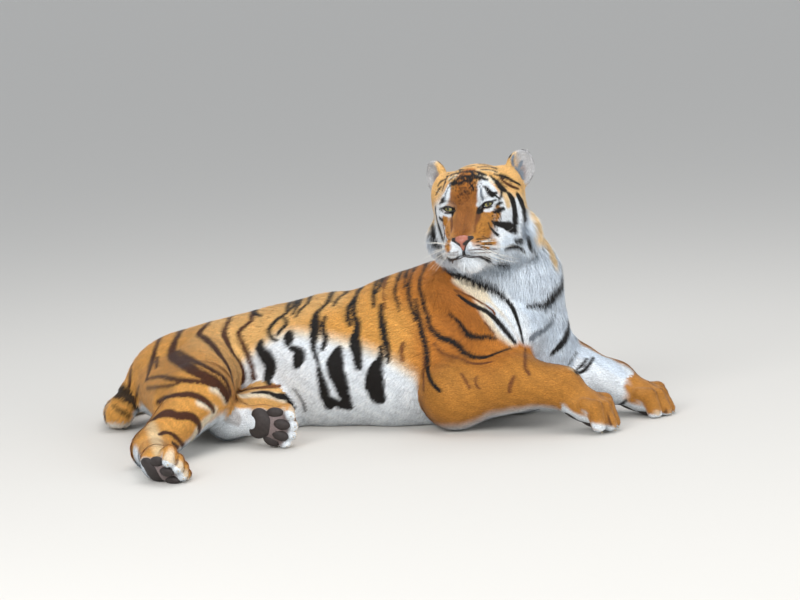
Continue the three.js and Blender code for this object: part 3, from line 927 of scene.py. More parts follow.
SHOULDER_MARKS = ribs(
    "black",
    ((6, 9, 10, 12, 9, 5), [(94, 436), (80, 408), (76, 380), (82, 352), (86, 324), (94, 296), (100, 268),
        (127, 239), (154, 229), (177, 211), (191, 193), (218, 180), (254, 179), (282, 188), (320, 200)]),
    ((5, 8, 12, 10, 5), [(154, 304), (177, 284), (191, 261), (209, 240), (236, 234), (259, 234),
        (280, 229)]),
    ((5, 8, 9, 10, 7), [(182, 356), (209, 334), (236, 318), (259, 306), (282, 284), (304, 256), (327, 224),
        (334, 215)]),
    ((9, 18, 17, 13, 9, 6, 4), [(158, 424), (172, 416), (205, 400), (250, 384), (282, 368), (304, 347),
        (327, 320), (341, 284), (350, 247), (355, 215)]),
) + ribs(
    "umber",
    ((4, 4, 4), [(173, 370), (213, 352), (241, 334), (273, 311), (282, 297)]),
    ((5, 6, 6, 4), [(109, 224), (132, 193), (173, 179), (204, 165), (236, 161), (268, 165)]),
    ((4, 4), [(252, 276), (276, 244)]),
    ((5, 5), [(180, 136), (200, 96)]),
    ((6, 8, 6), [(361, 193), (359, 165), (359, 143), (368, 124)]),
    ((6, 9, 7), [(325, 120), (314, 97), (311, 79)]),
    ((5, 5, 5), [(220, 124), (218, 106), (227, 93)]),
    ((4, 6, 5), [(77, 186), (74, 140), (72, 94)]),
)
CHEST_MARKS = ribs(
    "black",
    ((7, 12, 15, 15, 12), [(373, 313), (418, 315), (436, 334), (459, 356), (473, 384), (477, 420)]),
    ((6, 10, 11, 8), [(432, 179), (454, 197), (470, 215), (482, 243), (486, 265)]),
) + ribs(
    "grey",
    ((5, 6, 5), [(418, 297), (432, 311), (445, 320)]),
    ((10, 8, 6, 4), [(380, 225), (391, 234), (418, 247), (436, 270), (445, 288)]),
)
FAR_FORELEG_MARKS = ribs(
    "black",
    ((5, 7, 5), [(495, 124), (518, 143), (532, 159)]),
    ((6, 8, 6), [(500, 118), (527, 131), (550, 161)]),
    ((3, 3), [(477, 147), (504, 179)]),
    ((6, 7, 5), [(604, 24), (623, 29), (636, 38)]),
)
FOOT_MARKS = ribs(
    "umber",
    ((7, 12, 12, 8), [(-455, 115), (-400, 125), (-330, 128)]),
) + ribs(
    "black",
    ((6, 12, 14, 10), [(-410, 112), (-370, 112), (-340, 100), (-320, 98), (-305, 80), (-295, 65)]),
    ((5, 5), [(-290, 118), (-268, 85), (-262, 55)]),
)
FACE_GROUNDS = [
    ("honey", (50, 60, 60), 20, [(170, 700), (250, 712), (320, 700)]),
    ("cream", (4, 6, 6, 4), 4, [(172, 682), (194, 689), (214, 694), (230, 696)]),
    ("cream", (4, 6, 7, 6), 4, [(244, 689), (262, 684), (280, 679), (296, 668)]),
    ("straw", (4, 5, 5, 4), 4, [(246, 704), (268, 702), (290, 700), (308, 694)]),
    ("amber", (22, 28, 28, 24), 8, [(228, 700), (218, 684), (215, 664), (214, 640)]),
    ("bridge", (12, 22, 27, 27, 27, 27), 8,
     [(214, 646), (213, 628), (213, 600), (211, 575), (206, 555), (204, 536)]),
    ("umber", (3, 6, 8, 9, 8, 5), 4, [(252, 606), (251, 590), (249, 572), (246, 556), (242, 542),
        (238, 530)]),
    ("umber", (3, 5, 5, 4), 3, [(178, 592), (176, 574), (174, 552), (172, 534)]),
    ("white", (6, 12, 14, 11, 6), 3, [(176, 669), (168, 652), (162, 636), (155, 620), (149, 606)]),
    ("white", (5, 20, 30, 30, 18, 8), 4, [(258, 668), (272, 657), (280, 646), (280, 630), (270, 614),
        (252, 606)]),
    ("tan", (16, 20, 22, 26, 22), 5, [(280, 586), (276, 562), (264, 535), (264, 512), (268, 500)]),
    ("tan", (8, 10, 11, 9, 7), 3, [(156, 576), (158, 556), (160, 530), (160, 506), (161, 484)]),
    ("white", (10, 30, 36, 34, 24), 5, [(332, 596), (330, 560), (336, 520), (330, 478), (300, 446)]),
    ("straw", (8, 9, 8), 5, [(320, 646), (330, 624), (334, 600)]),
    ("white", (14, 18, 16), 4, [(362, 610), (365, 570), (364, 530)]),
    ("cool", (8, 12, 16, 16), 6, [(392, 580), (394, 545), (396, 508), (400, 470)]),
    ("cool", (40, 60, 60, 40), 8, [(336, 480), (350, 450), (340, 410), (300, 420)]),
    ("cool", (10, 18, 24, 26), 5, [(106, 586), (102, 545), (100, 500), (110, 455)]),
    ("white", (4, 6, 8, 12), 3, [(128, 580), (130, 548), (138, 516), (138, 470)]),
    ("white", (4, 5, 5), 3, [(147, 556), (146, 540), (148, 524)]),
    ("tan", (9, 12, 13, 10), 5, [(240, 520), (258, 511), (274, 502), (288, 500)]),
    ("white", (6, 10, 11, 10, 11), 3, [(222, 498), (221, 486), (238, 474), (262, 470), (290, 470)]),
    ("white", (8, 14, 15, 14), 4, [(174, 504), (184, 490), (182, 476), (172, 468)]),
    ("white", (22, 36, 30), 8, [(200, 440), (230, 440), (256, 444)]),
    ("white", (4, 6, 6, 5), 2, [(268, 589), (280, 590), (294, 597), (306, 612)]),
    ("white", (4, 5, 5), 2, [(148, 592), (158, 584), (170, 580)]),
    # Painted shade: under the chin, and down the white ruff on both sides of the face.
    ("shade", (10, 18, 20, 14), 10, [(236, 410), (276, 416), (318, 420), (356, 434)]),
    ("shade", (6, 12, 10), 7, [(108, 534), (114, 512), (120, 488)]),
    ("shade", (6, 13, 12, 8), 7, [(372, 538), (382, 516), (390, 496), (400, 474)]),
    ("shade", (6, 9, 9, 6), 6, [(346, 462), (366, 452), (386, 446), (404, 440)]),
    ("tan", (6, 8, 8, 5), 4, [(304, 600), (306, 586), (303, 570), (298, 558)]),
    ("straw", (8, 12, 14, 17, 20, 20, 14), 9,
     [(384, 634), (390, 606), (398, 572), (410, 536), (426, 500), (440, 466), (452, 425)]),
]
FACE_MARKS = ribs(
    "black",
    # the crown, from the animal's right to its left
    ((3, 5, 5, 4), [(167, 690), (188, 695), (205, 699), (222, 701)]),
    ((4, 6, 6, 4), [(174, 669), (186, 675), (202, 681), (214, 684)]),
    ((3, 6, 5), [(218, 690), (228, 684), (236, 676)]),
    ((4, 7, 5), [(233, 703), (238, 697), (242, 690)]),
    ((5, 9, 10, 6), [(248, 699), (256, 696), (266, 691), (276, 688)]),
    ((4, 8, 7, 5), [(246, 681), (258, 681), (270, 677), (280, 675)]),
    ((4, 5, 5, 4), [(256, 711), (272, 711), (292, 709), (308, 704)]),
    ((3, 6, 5), [(214, 699), (230, 701), (244, 702)]),
    ((5, 9, 8, 4), [(239, 681), (259, 682), (270, 678), (278, 674)]),
    ((4, 7, 5), [(204, 690), (223, 686), (243, 688)]),
    ((4, 6, 5), [(203, 665), (216, 674), (236, 674)]),
    ((3, 5, 4), [(219, 722), (251, 721), (289, 712)]),
    ((4, 7, 6, 4), [(317, 688), (330, 681), (342, 673), (370, 656)]),
    ((4, 9, 7), [(288, 686), (309, 662), (321, 644)]),
    ((3, 5, 4), [(196, 708), (220, 713), (246, 716)]),
    ((3, 4, 3), [(160, 672), (166, 682), (170, 690)]),
    ((3, 5, 4), [(152, 650), (158, 664), (164, 674)]),
    ((3, 6, 4), [(140, 664), (150, 676), (166, 684)]),
    ((3, 6, 4), [(168, 656), (182, 668), (200, 672)]),
    ((3, 5, 4), [(134, 640), (142, 654), (150, 662)]),
    ((3, 6, 5), [(186, 712), (200, 706), (214, 706)]),
    ((4, 5, 3), [(186, 664), (198, 669), (210, 671)]),
    ((3, 5, 3), [(228, 668), (236, 660), (240, 648)]),
    ((3, 5, 4), [(236, 690), (246, 690), (254, 688)]),
    ((4, 5, 4), [(300, 690), (314, 684), (326, 676)]),
    ((3, 5, 4, 3), [(262, 703), (280, 703), (296, 700), (308, 694)]),
    ((5, 11, 13, 8), [(298, 678), (308, 665), (317, 652), (328, 641)]),
    # over and round the eyes
    ((3, 8, 11, 11, 6), [(266, 658), (276, 652), (283, 640), (293, 632), (303, 637)]),
    ((4, 5, 5, 4), [(316, 654), (318, 640), (316, 626), (309, 615)]),
    ((4, 4), [(300, 630), (309, 622)]),
    ((4, 9, 6), [(144, 616), (152, 623), (158, 632)]),
    ((3, 4), [(160, 640), (166, 650)]),
    ((7, 6, 5, 5, 4), [(259, 597), (265, 607), (276, 613), (289, 613), (302, 618)]),
    ((5, 3, 3), [(262, 597), (275, 596), (288, 600)]),
    ((9, 13, 8), [(260, 599), (255, 590), (249, 583)]),
    ((4, 5, 5), [(143, 600), (157, 602), (171, 596)]),
    ((3, 3, 4), [(147, 596), (157, 588), (169, 588)]),
    ((8, 9, 5), [(170, 594), (177, 588), (178, 578)]),
    ((5, 8, 5), [(301, 602), (309, 606), (317, 609)]),
    ((6, 11, 8), [(296, 583), (308, 588), (320, 592)]),
    # the long stripes down the cheeks
    ((7, 12, 12, 12, 13, 13, 10), [(337, 634), (346, 616), (350, 598), (352, 576), (352, 556), (351, 540),
        (346, 527)]),
    ((8, 12, 14, 20, 18, 10), [(296, 553), (308, 549), (320, 546), (332, 541), (342, 534), (350, 526)]),
    ((8, 12, 11, 11, 9), [(361, 630), (370, 612), (376, 594), (380, 572), (380, 546)]),
    ((4, 5, 6, 7), [(276, 554), (280, 541), (290, 529), (302, 518)]),
    ((8, 6), [(288, 556), (294, 545)]),
    ((6, 14, 8), [(372, 504), (362, 499), (350, 500)]),
    ((6, 8, 8, 5), [(386, 508), (386, 486), (396, 466), (404, 450)]),
    ((5, 11, 9, 5), [(318, 478), (340, 484), (358, 480), (372, 472)]),
    ((8, 14, 15, 12), [(119, 598), (119, 574), (121, 548), (125, 522)]),
    ((6, 10, 9, 8), [(131, 606), (133, 580), (138, 552), (147, 516)]),
    ((7, 8), [(141, 575), (148, 569)]),
    ((7, 12, 8), [(124, 500), (134, 496), (143, 494)]),
    ((5, 9, 6), [(128, 476), (140, 470), (150, 462)]),
    ((5, 8, 5), [(114, 526), (122, 514), (132, 508)]),
    ((8, 15, 10), [(300, 436), (312, 433), (326, 430)]),
    # the lips
    ((4, 5, 5), [(205, 484), (204, 474), (205, 468)]),
    ((5, 5, 5, 8, 8, 4), [(205, 468), (225, 464), (245, 462), (262, 456), (278, 448), (292, 436)]),
    ((4, 4, 10, 12), [(203, 468), (190, 466), (176, 459), (162, 460)]),
) + ribs(
    "grey",
    # The first grey mark is painted shade on the white ruff on the right.
    ((8, 14, 10), [(374, 540), (377, 520), (374, 506)]),
    ((4, 6, 5), [(261, 650), (261, 634), (265, 620)]),
    ((4, 5, 4), [(166, 650), (160, 636), (158, 624)]),
    ((3, 4, 3), [(285, 421), (304, 416), (322, 410), (346, 398)]),
    ((8, 10, 6), [(100, 502), (102, 486), (108, 468)]),
    ((6, 8, 5), [(122, 480), (122, 464), (118, 448)]),
    ((8, 12, 8), [(150, 430), (164, 428), (176, 432)]),
    ((9, 14, 9), [(362, 700), (372, 690), (378, 674)]),
    ((5, 9, 6), [(356, 738), (352, 724), (354, 712)]),
    ((5, 8, 5), [(380, 722), (374, 712), (370, 704)]),
) + ribs(
    "brown",
    ((3, 5, 4), [(258, 719), (280, 720), (300, 716)]),
    ((4, 6, 6, 5), [(316, 676), (332, 662), (348, 652), (364, 645)]),
    ((2, 3, 2), [(150, 560), (152, 530), (149, 502)]),
    ((2, 3, 3, 2), [(216, 480), (240, 482), (266, 480), (296, 480)]),
    ((2, 3, 3, 2), [(222, 473), (244, 473), (270, 472), (300, 470)]),
    ((2, 3, 2), [(160, 478), (172, 476), (188, 478)]),
    ((2, 3, 2), [(160, 472), (172, 470), (188, 471)]),
)
# Fields of short dashes: ink, middle, half width and height, spacing, width, and the point that
# they curve about.
DASHES = [
    ("black", (218, 672), (46, 36), 8.0, 3.6, (212, 560)), ("brown", (208, 628), (26, 18),
    9.0, 2.8, (212, 560)),
    ("black", (298, 566), (15, 34), 8.0, 3.2, (236, 560)), ("black", (262, 502), (24, 17),
    8.0, 4.4, (262, 300)), ("brown", (262, 502), (26, 18), 9.5, 2.4, (262, 300)),
    ("black", (204, 690), (38, 13), 8.5, 3.6, (212, 560)), ("brown", (334, 664), (22, 18),
    10.0, 2.6, (212, 560)),
    ("brown", (160, 520), (8, 44), 8.0, 2.8, (190, 540)), ("brown", (262, 540), (16, 20),
    10.0, 2.0, (214, 560)),
]


DASH_STRAY = 0.28  # of its place, in spacings
DASH_HALF = (1.5, 3.6)  # least and most of half its length


def dashes(rng):
    """Short dark dashes scattered over the brow, the cheeks and the whisker pads."""
    for ink, middle, half, step, width, about in DASHES:
        rows, columns = int(half[1] / step) + 1, int(half[0] / step) + 1
        for i in range(-rows, rows + 1):
            for k in range(-columns, columns + 1):
                stray = rng.uniform(-DASH_STRAY, DASH_STRAY, 2)
                x, v = np.array([k + 0.5 * (i % 2), i]) * step + stray * step
                if (x / half[0]) ** 2 + (v / half[1]) ** 2 > 1:
                    continue
                place = vec(middle) + (x, v)
                out = unit(place - about)
                along_it = vec((out[1], -out[0])) * rng.uniform(*DASH_HALF)
                yield ink, (0.6 * width, width, 0.6 * width), [place - along_it, place, place + along_it]


class Skin:
    """The skin's triangles, with what is worked out at its corners."""

    def __init__(self, places, faces):
        self.places, self.faces = places, faces
        a, b, c = (places[faces[:, k]] for k in range(3))
        cross = np.cross(b - a, c - a)
        self.area = 0.5 * np.linalg.norm(cross, axis=1)
        self.normals = unit(np.column_stack([
            sum(np.bincount(faces[:, k], cross[:, n], len(places)) for k in range(3)) for n in range(3)
        ]))
        self.owner = skin_field(places, with_part=True)[1]
        self.tree = BVHTree.FromPolygons(places.tolist(), faces.tolist())
        pairs = np.vstack([faces[:, [0, 1]], faces[:, [1, 2]], faces[:, [2, 0]]])
        self.pairs = np.vstack([pairs, pairs[:, ::-1]])
        self.count = np.bincount(self.pairs[:, 0], minlength=len(places))

    def spread(self, values, rounds, share=0.6):
        """Values at the corners, evened out with their neighbours'."""
        for _ in range(rounds):
            total = np.column_stack([
                np.bincount(self.pairs[:, 0], column[self.pairs[:, 1]], len(values)) for column in values.T
            ])
            values = (1 - share) * values + share * total / np.maximum(self.count, 1)[:, None]
        return values


def cast(skin, line):
    """The places on the skin that a line on the camera's card falls on."""
    places, depth = [], None
    for x, v in line:
        card = vec(AIM) + (x - CARD_MIDDLE[0]) * RIGHT + (v - CARD_MIDDLE[1]) * UP
        ray = unit(card - EYE_POINT)
        hit = skin.tree.ray_cast(Vector(EYE_POINT), Vector(ray))
        if hit[0] is not None:
            depth = hit[3]
            places.append(vec(hit[0]))
        elif depth is not None:
            places.append(vec(skin.tree.find_nearest(Vector(EYE_POINT + ray * depth))[0]))
    return np.array(places)


def nearest_on(skin, places):
    """The nearest places on the skin, and the way it faces there."""
    found = [skin.tree.find_nearest(Vector(p))[:2] for p in places]
    return np.array([vec(f[0]) for f in found]), np.array([vec(f[1]) for f in found])


class Mark:
    """A painted line on the skin, with its radius along it and the regions it may paint."""

    def __init__(self, ink, widths, edge, places, regions):
        self.ink, self.edge, self.places, self.regions = INK[ink], edge, places, regions
        at = np.linspace(0, 1, len(places))
        self.radii = 0.5 * np.interp(at, np.linspace(0, 1, len(widths)), widths)

    def paint(self, points, owner, colours):
        reach = self.radii.max() + self.edge
        low, high = self.places.min(0) - reach, self.places.max(0) + reach
        near = np.nonzero(((points > low) & (points < high)).all(1))[0]
        near = near[np.isin(owner[near], list(self.regions))]
        if not len(near):
            return
        best = np.full(len(near), 1e9)
        p = points[near]
        for i in range(len(self.places) - 1):
            a, d = self.places[i], self.places[i + 1] - self.places[i]
            t = np.clip((p - a) @ d / max(d @ d, 1e-9), 0, 1)
            gap = np.linalg.norm(p - a - t[:, None] * d, axis=1)
            best = np.minimum(best, gap - (self.radii[i] + (self.radii[i + 1] - self.radii[i]) * t))
        cover = (1 - smooth(-self.edge, self.edge, best))[:, None]
        colours[near] = colours[near] * (1 - cover) + self.ink * cover


BESIDE = 70  # how near a place of the back or belly must be to count
BACK_STEP = 30
CREST_HALF = 62  # degrees to each side of the top
BACK_LOWEST = 200  # of the crest over the floor
BAND_PLACES = 28
SWAY_WAVES = 2.2  # of a band, in each radian


def body_frame(p):
    """The middle of the body beside a place, the animal's left there and its upward direction."""
    back, low = vec(NAPE[:2] + SPINE[1:]), vec(THROAT + BELLY[1:])
    weights = lambda line: np.exp(-((line - p) ** 2).sum(1) / (2 * BESIDE**2)) + 1e-12
    mean = lambda line, w: (w[:, None] * line).sum(0) / w.sum()
    back, low = (curve_points(line, BACK_STEP) for line in (back, low))
    top, bottom = mean(back, weights(back)), mean(low, weights(low))
    ahead = unit(-mean(np.gradient(back, axis=0), weights(back)))
    up = unit(top - bottom)
    left = unit(np.cross(up, ahead))
    return 0.5 * (top + bottom), left, np.cross(ahead, left)


def mirrored(skin, places):
    """The same line on the animal's other side."""
    out = []
    for p in places:
        middle, left, _ = body_frame(p)
        out.append(p - 2 * ((p - middle) @ left) * left)
    return nearest_on(skin, out)[0]


def over_back(skin, start, last, sway):
    """A line from a place on the crest, over the back and down as far as an angle in degrees."""
    middle, left, up = body_frame(start)
    ahead = np.cross(left, up)
    middle = middle + ((start - middle) @ ahead) * ahead
    first = math.degrees(math.atan2((start - middle) @ left, (start - middle) @ up))
    if not -CREST_HALF < first < CREST_HALF or start[2] < BACK_LOWEST:
        return np.empty((0, 3))
    line = []
    for turn in np.radians(np.linspace(first, last, BAND_PLACES)):
        step = sway * (math.sin(SWAY_WAVES * turn) - math.sin(SWAY_WAVES * math.radians(first)))
        out = math.cos(turn) * up + math.sin(turn) * left
        hit = skin.tree.ray_cast(Vector(middle + step * ahead), Vector(out))
        if hit[0] is not None:
            line.append(vec(hit[0]))
    return np.array(line)


CHEEK_AWAY = 0.05  # how much the skin must face away from the camera, for a mark repeated there
HOOP_AWAY = 0.12  # and for a hoop


def across_head(skin, places):
    """What the same line covers of the other half of the head, where that faces away from the camera."""
    h = to_head(places) * (-1, 1, 1)
    there, facing = nearest_on(skin, from_head(h))
    return there[facing @ AHEAD > CHEEK_AWAY]


INK_EDGE = 1.5
FACE_EDGE = 1.1
GROUND_STEP = 14  # between two places of a ground's line
MARK_STEP = 7
BAND_ENDS = (80, 135)  # degrees down the hidden side
BAND_SWAY = 26
BAND_SHORT = 30  # degrees, where the mark itself is repeated on the hidden side
BAND_LEAST = 14  # width
BAND_SHAPE = (1, 1.2, 1.5, 1.1, 0.9)  # its widths along it
BAND_TIP = 4
HOOP_WIDTHS = (5, 16, 20, 16, 5)
HOOP_PLACES = 15
NECK_REACH = 150  # further out than the neck's skin


def hidden_side(skin, places, wide, repeated_there, rng):
    """Widths and places of what continues a mark of the body on its hidden side."""
    if places[-1][2] > places[0][2]:
        places, wide = places[::-1], wide[::-1]
    last, sway = rng.uniform(*BAND_ENDS), rng.uniform(-BAND_SWAY, BAND_SWAY)
    band = over_back(skin, places[0], last, sway)
    if len(band) < 2 or repeated_there:
        yield wide, mirrored(skin, places)
        band = over_back(skin, places[0], BAND_SHORT, sway)
    if len(band) > 1:
        broad = max(wide[0], BAND_LEAST)
        yield [share * broad for share in BAND_SHAPE] + [BAND_TIP], band


def all_marks(skin):
    """Every mark, in the order in which they are painted."""
    regions = lambda *names: {n for n, name in enumerate(PART_NAMES) if name in names}
    front = regions("trunk", "neck", "shoulder_right", "shoulder_left")
    head = regions("head", "ear_left", "ear_right")
    whole = set(range(len(PARTS)))
    marks, rng = [], np.random.default_rng(SEED + 1)
    for table, only in (
        (BODY_GROUNDS, regions("trunk")), (CHEST_GROUNDS, front), (THROAT_GROUNDS, regions("neck", "head")),
        (RIGHT_FORELEG_GROUNDS, regions("forearm_right", "forepaw_right")),
        (LEFT_FORELEG_GROUNDS, regions("forearm_left", "forepaw_left")),
        (RIGHT_HINDLEG_GROUNDS, regions("thigh_right", "shank_right", "hind_paw_right")),
        (LEFT_HINDLEG_GROUNDS, regions("thigh_left", "shank_left", "hind_paw_left")),
        (FACE_GROUNDS, head | regions("neck")),
    ):
        for ink, radii, edge, line in table:
            places = cast(skin, curve_points(line, GROUND_STEP))
            if len(places) > 1:
                marks.append(Mark(ink, [2 * r for r in radii], edge, places, only))
    for table, only, on_both_sides, spread in (
        (HAUNCH_MARKS, whole, True, 1.85), (FLANK_MARKS, whole, True, 1.6),
        (SHOULDER_MARKS, whole, True, 1.5), (CHEST_MARKS, front, False, 2.0),
        (FAR_FORELEG_MARKS, whole, False, 1.5), (FOOT_MARKS, whole, False, 1.4),
        (FACE_MARKS, head | regions("neck"), False, 1.45), (DASHES, head, False, 1.2),
    ):
        edge = FACE_EDGE if table in (FACE_MARKS, DASHES) else INK_EDGE
        for ink, widths, line in dashes(np.random.default_rng(SEED)) if table is DASHES else table:
            places = cast(skin, curve_points(line, MARK_STEP))
            if len(places) < 2:
                continue
            wide = [spread * w for w in widths]
            marks.append(Mark(ink, wide, edge, places, only))
            if on_both_sides:
                marks += [Mark(ink, broad, edge, there, only) for broad, there
                          in hidden_side(skin, places, wide, table is HAUNCH_MARKS, rng)]
            elif table is FACE_MARKS:
                there = across_head(skin, places)
                if len(there) > 2:
                    marks.append(Mark(ink, wide, edge, there, only))
    for middle, across, up, sweep in hoops():
        turn = np.radians(np.linspace(*sweep, HOOP_PLACES))[:, None]
        ring, facing = nearest_on(skin, middle + NECK_REACH * (np.cos(turn) * across + np.sin(turn) * up))
        behind = ring[facing @ AHEAD > HOOP_AWAY]
        if len(behind) > 2:
            marks.append(Mark("black", HOOP_WIDTHS, INK_EDGE, behind, head | front))
    return marks


HEAD_BACK = (262, 30, 640)  # inside the back of the head
HEAD_HOOPS = [(64, (34, 80)), (64, (104, 150)), (96, (22, 84)), (96, (100, 158)), (128, (14, 166)),
              (158, (30, 150))]  # how far back from the eyes, and a sweep in degrees


def hoops():
    """Stripes round the back of the head and neck: a middle, two directions across it and a sweep."""
    for back, sweep in HEAD_HOOPS:
        yield from_head(vec((0, back, 0))), HEAD_AXES[0], HEAD_AXES[2], sweep
    line = curve_points([HEAD_BACK] + NAPE, 58)
    for k, (a, b) in enumerate(zip(line[1:-1], line[2:])):
        ahead = unit(b - a)
        across = unit(np.cross(ahead, (0.3, 1, 0)))
        lean = 12 * math.sin(2.1 * k)
        sweep = (20 + lean, 138 - lean) if k % 2 else (42 - lean, 160 + lean)
        yield a, across, np.cross(across, ahead), sweep


BODY_REACH, HEAD_REACH = 60, 22  # how far a swatch's own ink goes before it mixes


def nearest_inks(points, swatches, reach):
    """The inks of the nearest swatches, mixed."""
    colours, total = np.zeros_like(points), np.zeros((len(points), 1))
    for ink, place in swatches:
        weight = 1 / (((points - vec(place)) ** 2).sum(1)[:, None] + reach**2) ** 3
        colours += weight * INK[ink]
        total += weight
    return colours / total


def mixed(colours, ink, share):
    share = np.asarray(share, float)[:, None]
    return colours * (1 - share) + INK[ink] * share


TAIL_RING = 84  # between two rings of the tail
TAIL_BLACK_TIP = 90


def tail_rings(points):
    """How black the tail is: rings that thin out underneath, and a black tip."""
    line = curve_points(TAIL, 12)
    run = np.concatenate([[0], np.cumsum(np.linalg.norm(np.diff(line, axis=0), axis=1))])
    nearest = ((points[:, None, :] - line[None, ::2]) ** 2).sum(2).argmin(1) * 2
    at = run[nearest] + ((points - line[nearest]) * unit(np.gradient(line, axis=0))[nearest]).sum(1)
    wave = 5 * np.sin(points @ vec((0.09, 0.05, 0.12)))
    phase = np.abs(((at + wave) / TAIL_RING) % 1 - 0.5)
    width = 0.2 + 0.06 * np.sin(at / 90) - 0.1 * smooth(0, -30, points[:, 2] - line[nearest, 2])
    ring = smooth(width + 0.02, width - 0.02, phase)
    return np.maximum(ring, smooth(run[-1] - TAIL_BLACK_TIP, run[-1] - TAIL_BLACK_TIP + 12, at))


def base_colours(points, normals, owner):
    """The ground colour of the coat before its marks: orange above, white below."""
    names = np.array(PART_NAMES)[owner]
    among = lambda *members: np.isin(names, members)
    x, y, z = normals.T
    colours = nearest_inks(points, BODY_SWATCHES, BODY_REACH)
    level = np.where(among("forearm_right", "shoulder_right"), -0.6, -0.2)
    below = smooth(0, -0.4, z - level) * ~among("head", "ear_left", "ear_right")
    colours = mixed(colours, "white", below)
    inner = among("forearm_left", "shoulder_left") * smooth(0.35, -0.15, y + 0.5 * z)
    colours = mixed(colours, "white", inner)
    # The front of the chest and neck: white fur in painted shade, bluish.
    chest = (among("trunk", "neck", "shoulder_left") * smooth(200, 300, points[:, 0])
             * smooth(0.1, 0.6, x - 0.3 * y - 0.7 * np.maximum(y, 0)))
    colours = mixed(colours, "cool", chest)
    tail = names == "tail"
    colours[tail] = mixed(colours[tail], "straw", 0.5 * smooth(40, 10, points[tail, 2]))
    colours[tail] = mixed(colours[tail], "black", 0.95 * tail_rings(points[tail]))
    for name, *paw in paws():
        here = names == name
        colours[here] = paw_colours(colours[here], points[here], normals[here], *paw)
    h = to_head(points)
    on_head = names == "head"
    colours[on_head] = nearest_inks(folded(h)[on_head], HEAD_SWATCHES, HEAD_REACH)
    return ear_colours(colours, h, normals, among("ear_left", "ear_right"))


def paw_colours(colours, points, normals, start, end, up, size):
    """Paws: a white sole, cream tips to the toes and painted shade in the clefts between them."""
    axes = paw_axes(start, end, up)
    q, n = (points - start) @ axes.T, normals @ axes.T
    across = q[:, 0] / size["width"]
    reach = q[:, 1] / np.linalg.norm(vec(end) - vec(start)) + 0.9 * across**2
    tip = 1.02 if size is FOREPAW else 0.94
    under = smooth(0.55, 0.85, -n[:, 2]) if size is FOREPAW else smooth(0.3, 0.65, -n[:, 2])
    cleft = np.abs(across - np.clip(np.round(across / 0.25), -1, 1) * 0.25) * size["width"]
    colours = mixed(colours, "cream", 0.8 * smooth(tip, tip + 0.1, reach))
    colours = mixed(colours, "white", under)
    if size is HINDPAW:  # dark hair between the pads
        inside = smooth(0.95, 0.82, reach) * smooth(0.05, 0.25, reach) * smooth(0.5, 0.4, np.abs(across))
        colours = mixed(colours, "mauve", under * inside)
    # Painted shade: brown in the clefts between the toes, where the skin does not face down.
    cleft_shade = smooth(2.6, 1.0, cleft) * smooth(0.86, 0.93, reach) * smooth(-0.5, 0, n[:, 2])
    return mixed(colours, "brown", 0.85 * cleft_shade)


def ear_colours(colours, h, normals, ears):
    """Ears: pale inside with a darker middle, black behind with a white spot, orange at the root."""
    x, _, z = ((folded(h) - EAR_CENTRE) @ EAR_AXES.T).T
    n_head = normals @ HEAD_AXES.T
    facing = (np.column_stack([n_head[:, 0] * np.sign(h[:, 0]), n_head[:, 1:]]) @ EAR_AXES.T)[:, 1]
    front, back = ears * smooth(0.3, 0.0, facing), ears * smooth(0.0, 0.3, facing)
    colours = mixed(colours, "honey", ears)
    colours = mixed(colours, "ash", front * smooth(-52, -30, z))
    colours = mixed(colours, "mauve", 0.75 * front * smooth(27, 12, np.hypot(x - 2, 0.7 * (z + 10))))
    colours = mixed(colours, "straw", front * smooth(-16, -32, x))
    colours = mixed(colours, "black", back * smooth(-34, -14, z))
    return mixed(colours, "white", back * smooth(17, 10, np.hypot(x, z - 8)))


def coat_colours(points, normals, owner, marks):
    colours = base_colours(points, normals, owner)
    for mark in marks:
        mark.paint(points, owner, colours)
    return colours


# ---------------------------------------------------------------- eyes, nose and lips

EYEBALL = 19.6  # radius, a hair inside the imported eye's
CORNEA_RISE = 1.4
PUPIL = 3.1  # radii on the eyeball
IRIS = 12.0
IRIS_MAP = 1.25 * IRIS  # as far as its colours are laid out
GAZE_OUT = 9  # degrees, each eye from straight ahead
GAZE_DOWN = 5
EYE_RINGS, EYE_SIDES = 40, 48


def eye_material():
    """A wet eyeball: a round pupil in a streaked yellow-green iris, under a clear glossy coat."""
    material, tree = new_material("wet_eyeball")
    reach = add_node(tree, "ShaderNodeAttribute", attribute_name="iris_radius")
    streak = add_node(tree, "ShaderNodeAttribute", attribute_name="iris_streak")
    share = add_node(tree, "ShaderNodeMapRange", [(reach.outputs["Fac"], "Value")], From_Max=IRIS_MAP)
    ramp = add_node(tree, "ShaderNodeValToRGB", [(share.outputs["Result"], "Fac")])
    stops = [(0.0, "#040303"), (PUPIL, "#060505"), (PUPIL + 0.6, "#6F6A33"), (6.0, "#B2AC70"),
             (9.5, "#C4BE88"), (IRIS - 1.2, "#7F7A48"), (IRIS - 0.2, "#1A140E"), (IRIS_MAP, "#120D0A")]
    while len(ramp.color_ramp.elements) < len(stops):
        ramp.color_ramp.elements.new(0.5)
    for element, (radius, colour) in zip(ramp.color_ramp.elements, stops):
        element.position = radius / IRIS_MAP
        element.color = (*linear(colour), 1)
    shade = toned(tree, ramp.outputs["Color"], noise(tree, streak.outputs["Vector"], 1.0, 3.0), 0.7, 1.2)
    finish_material(tree, [(shade, "Base Color")], Roughness=0.12, IOR=1.38,
                    Coat_Weight=1.0, Coat_Roughness=0.02)
    return material


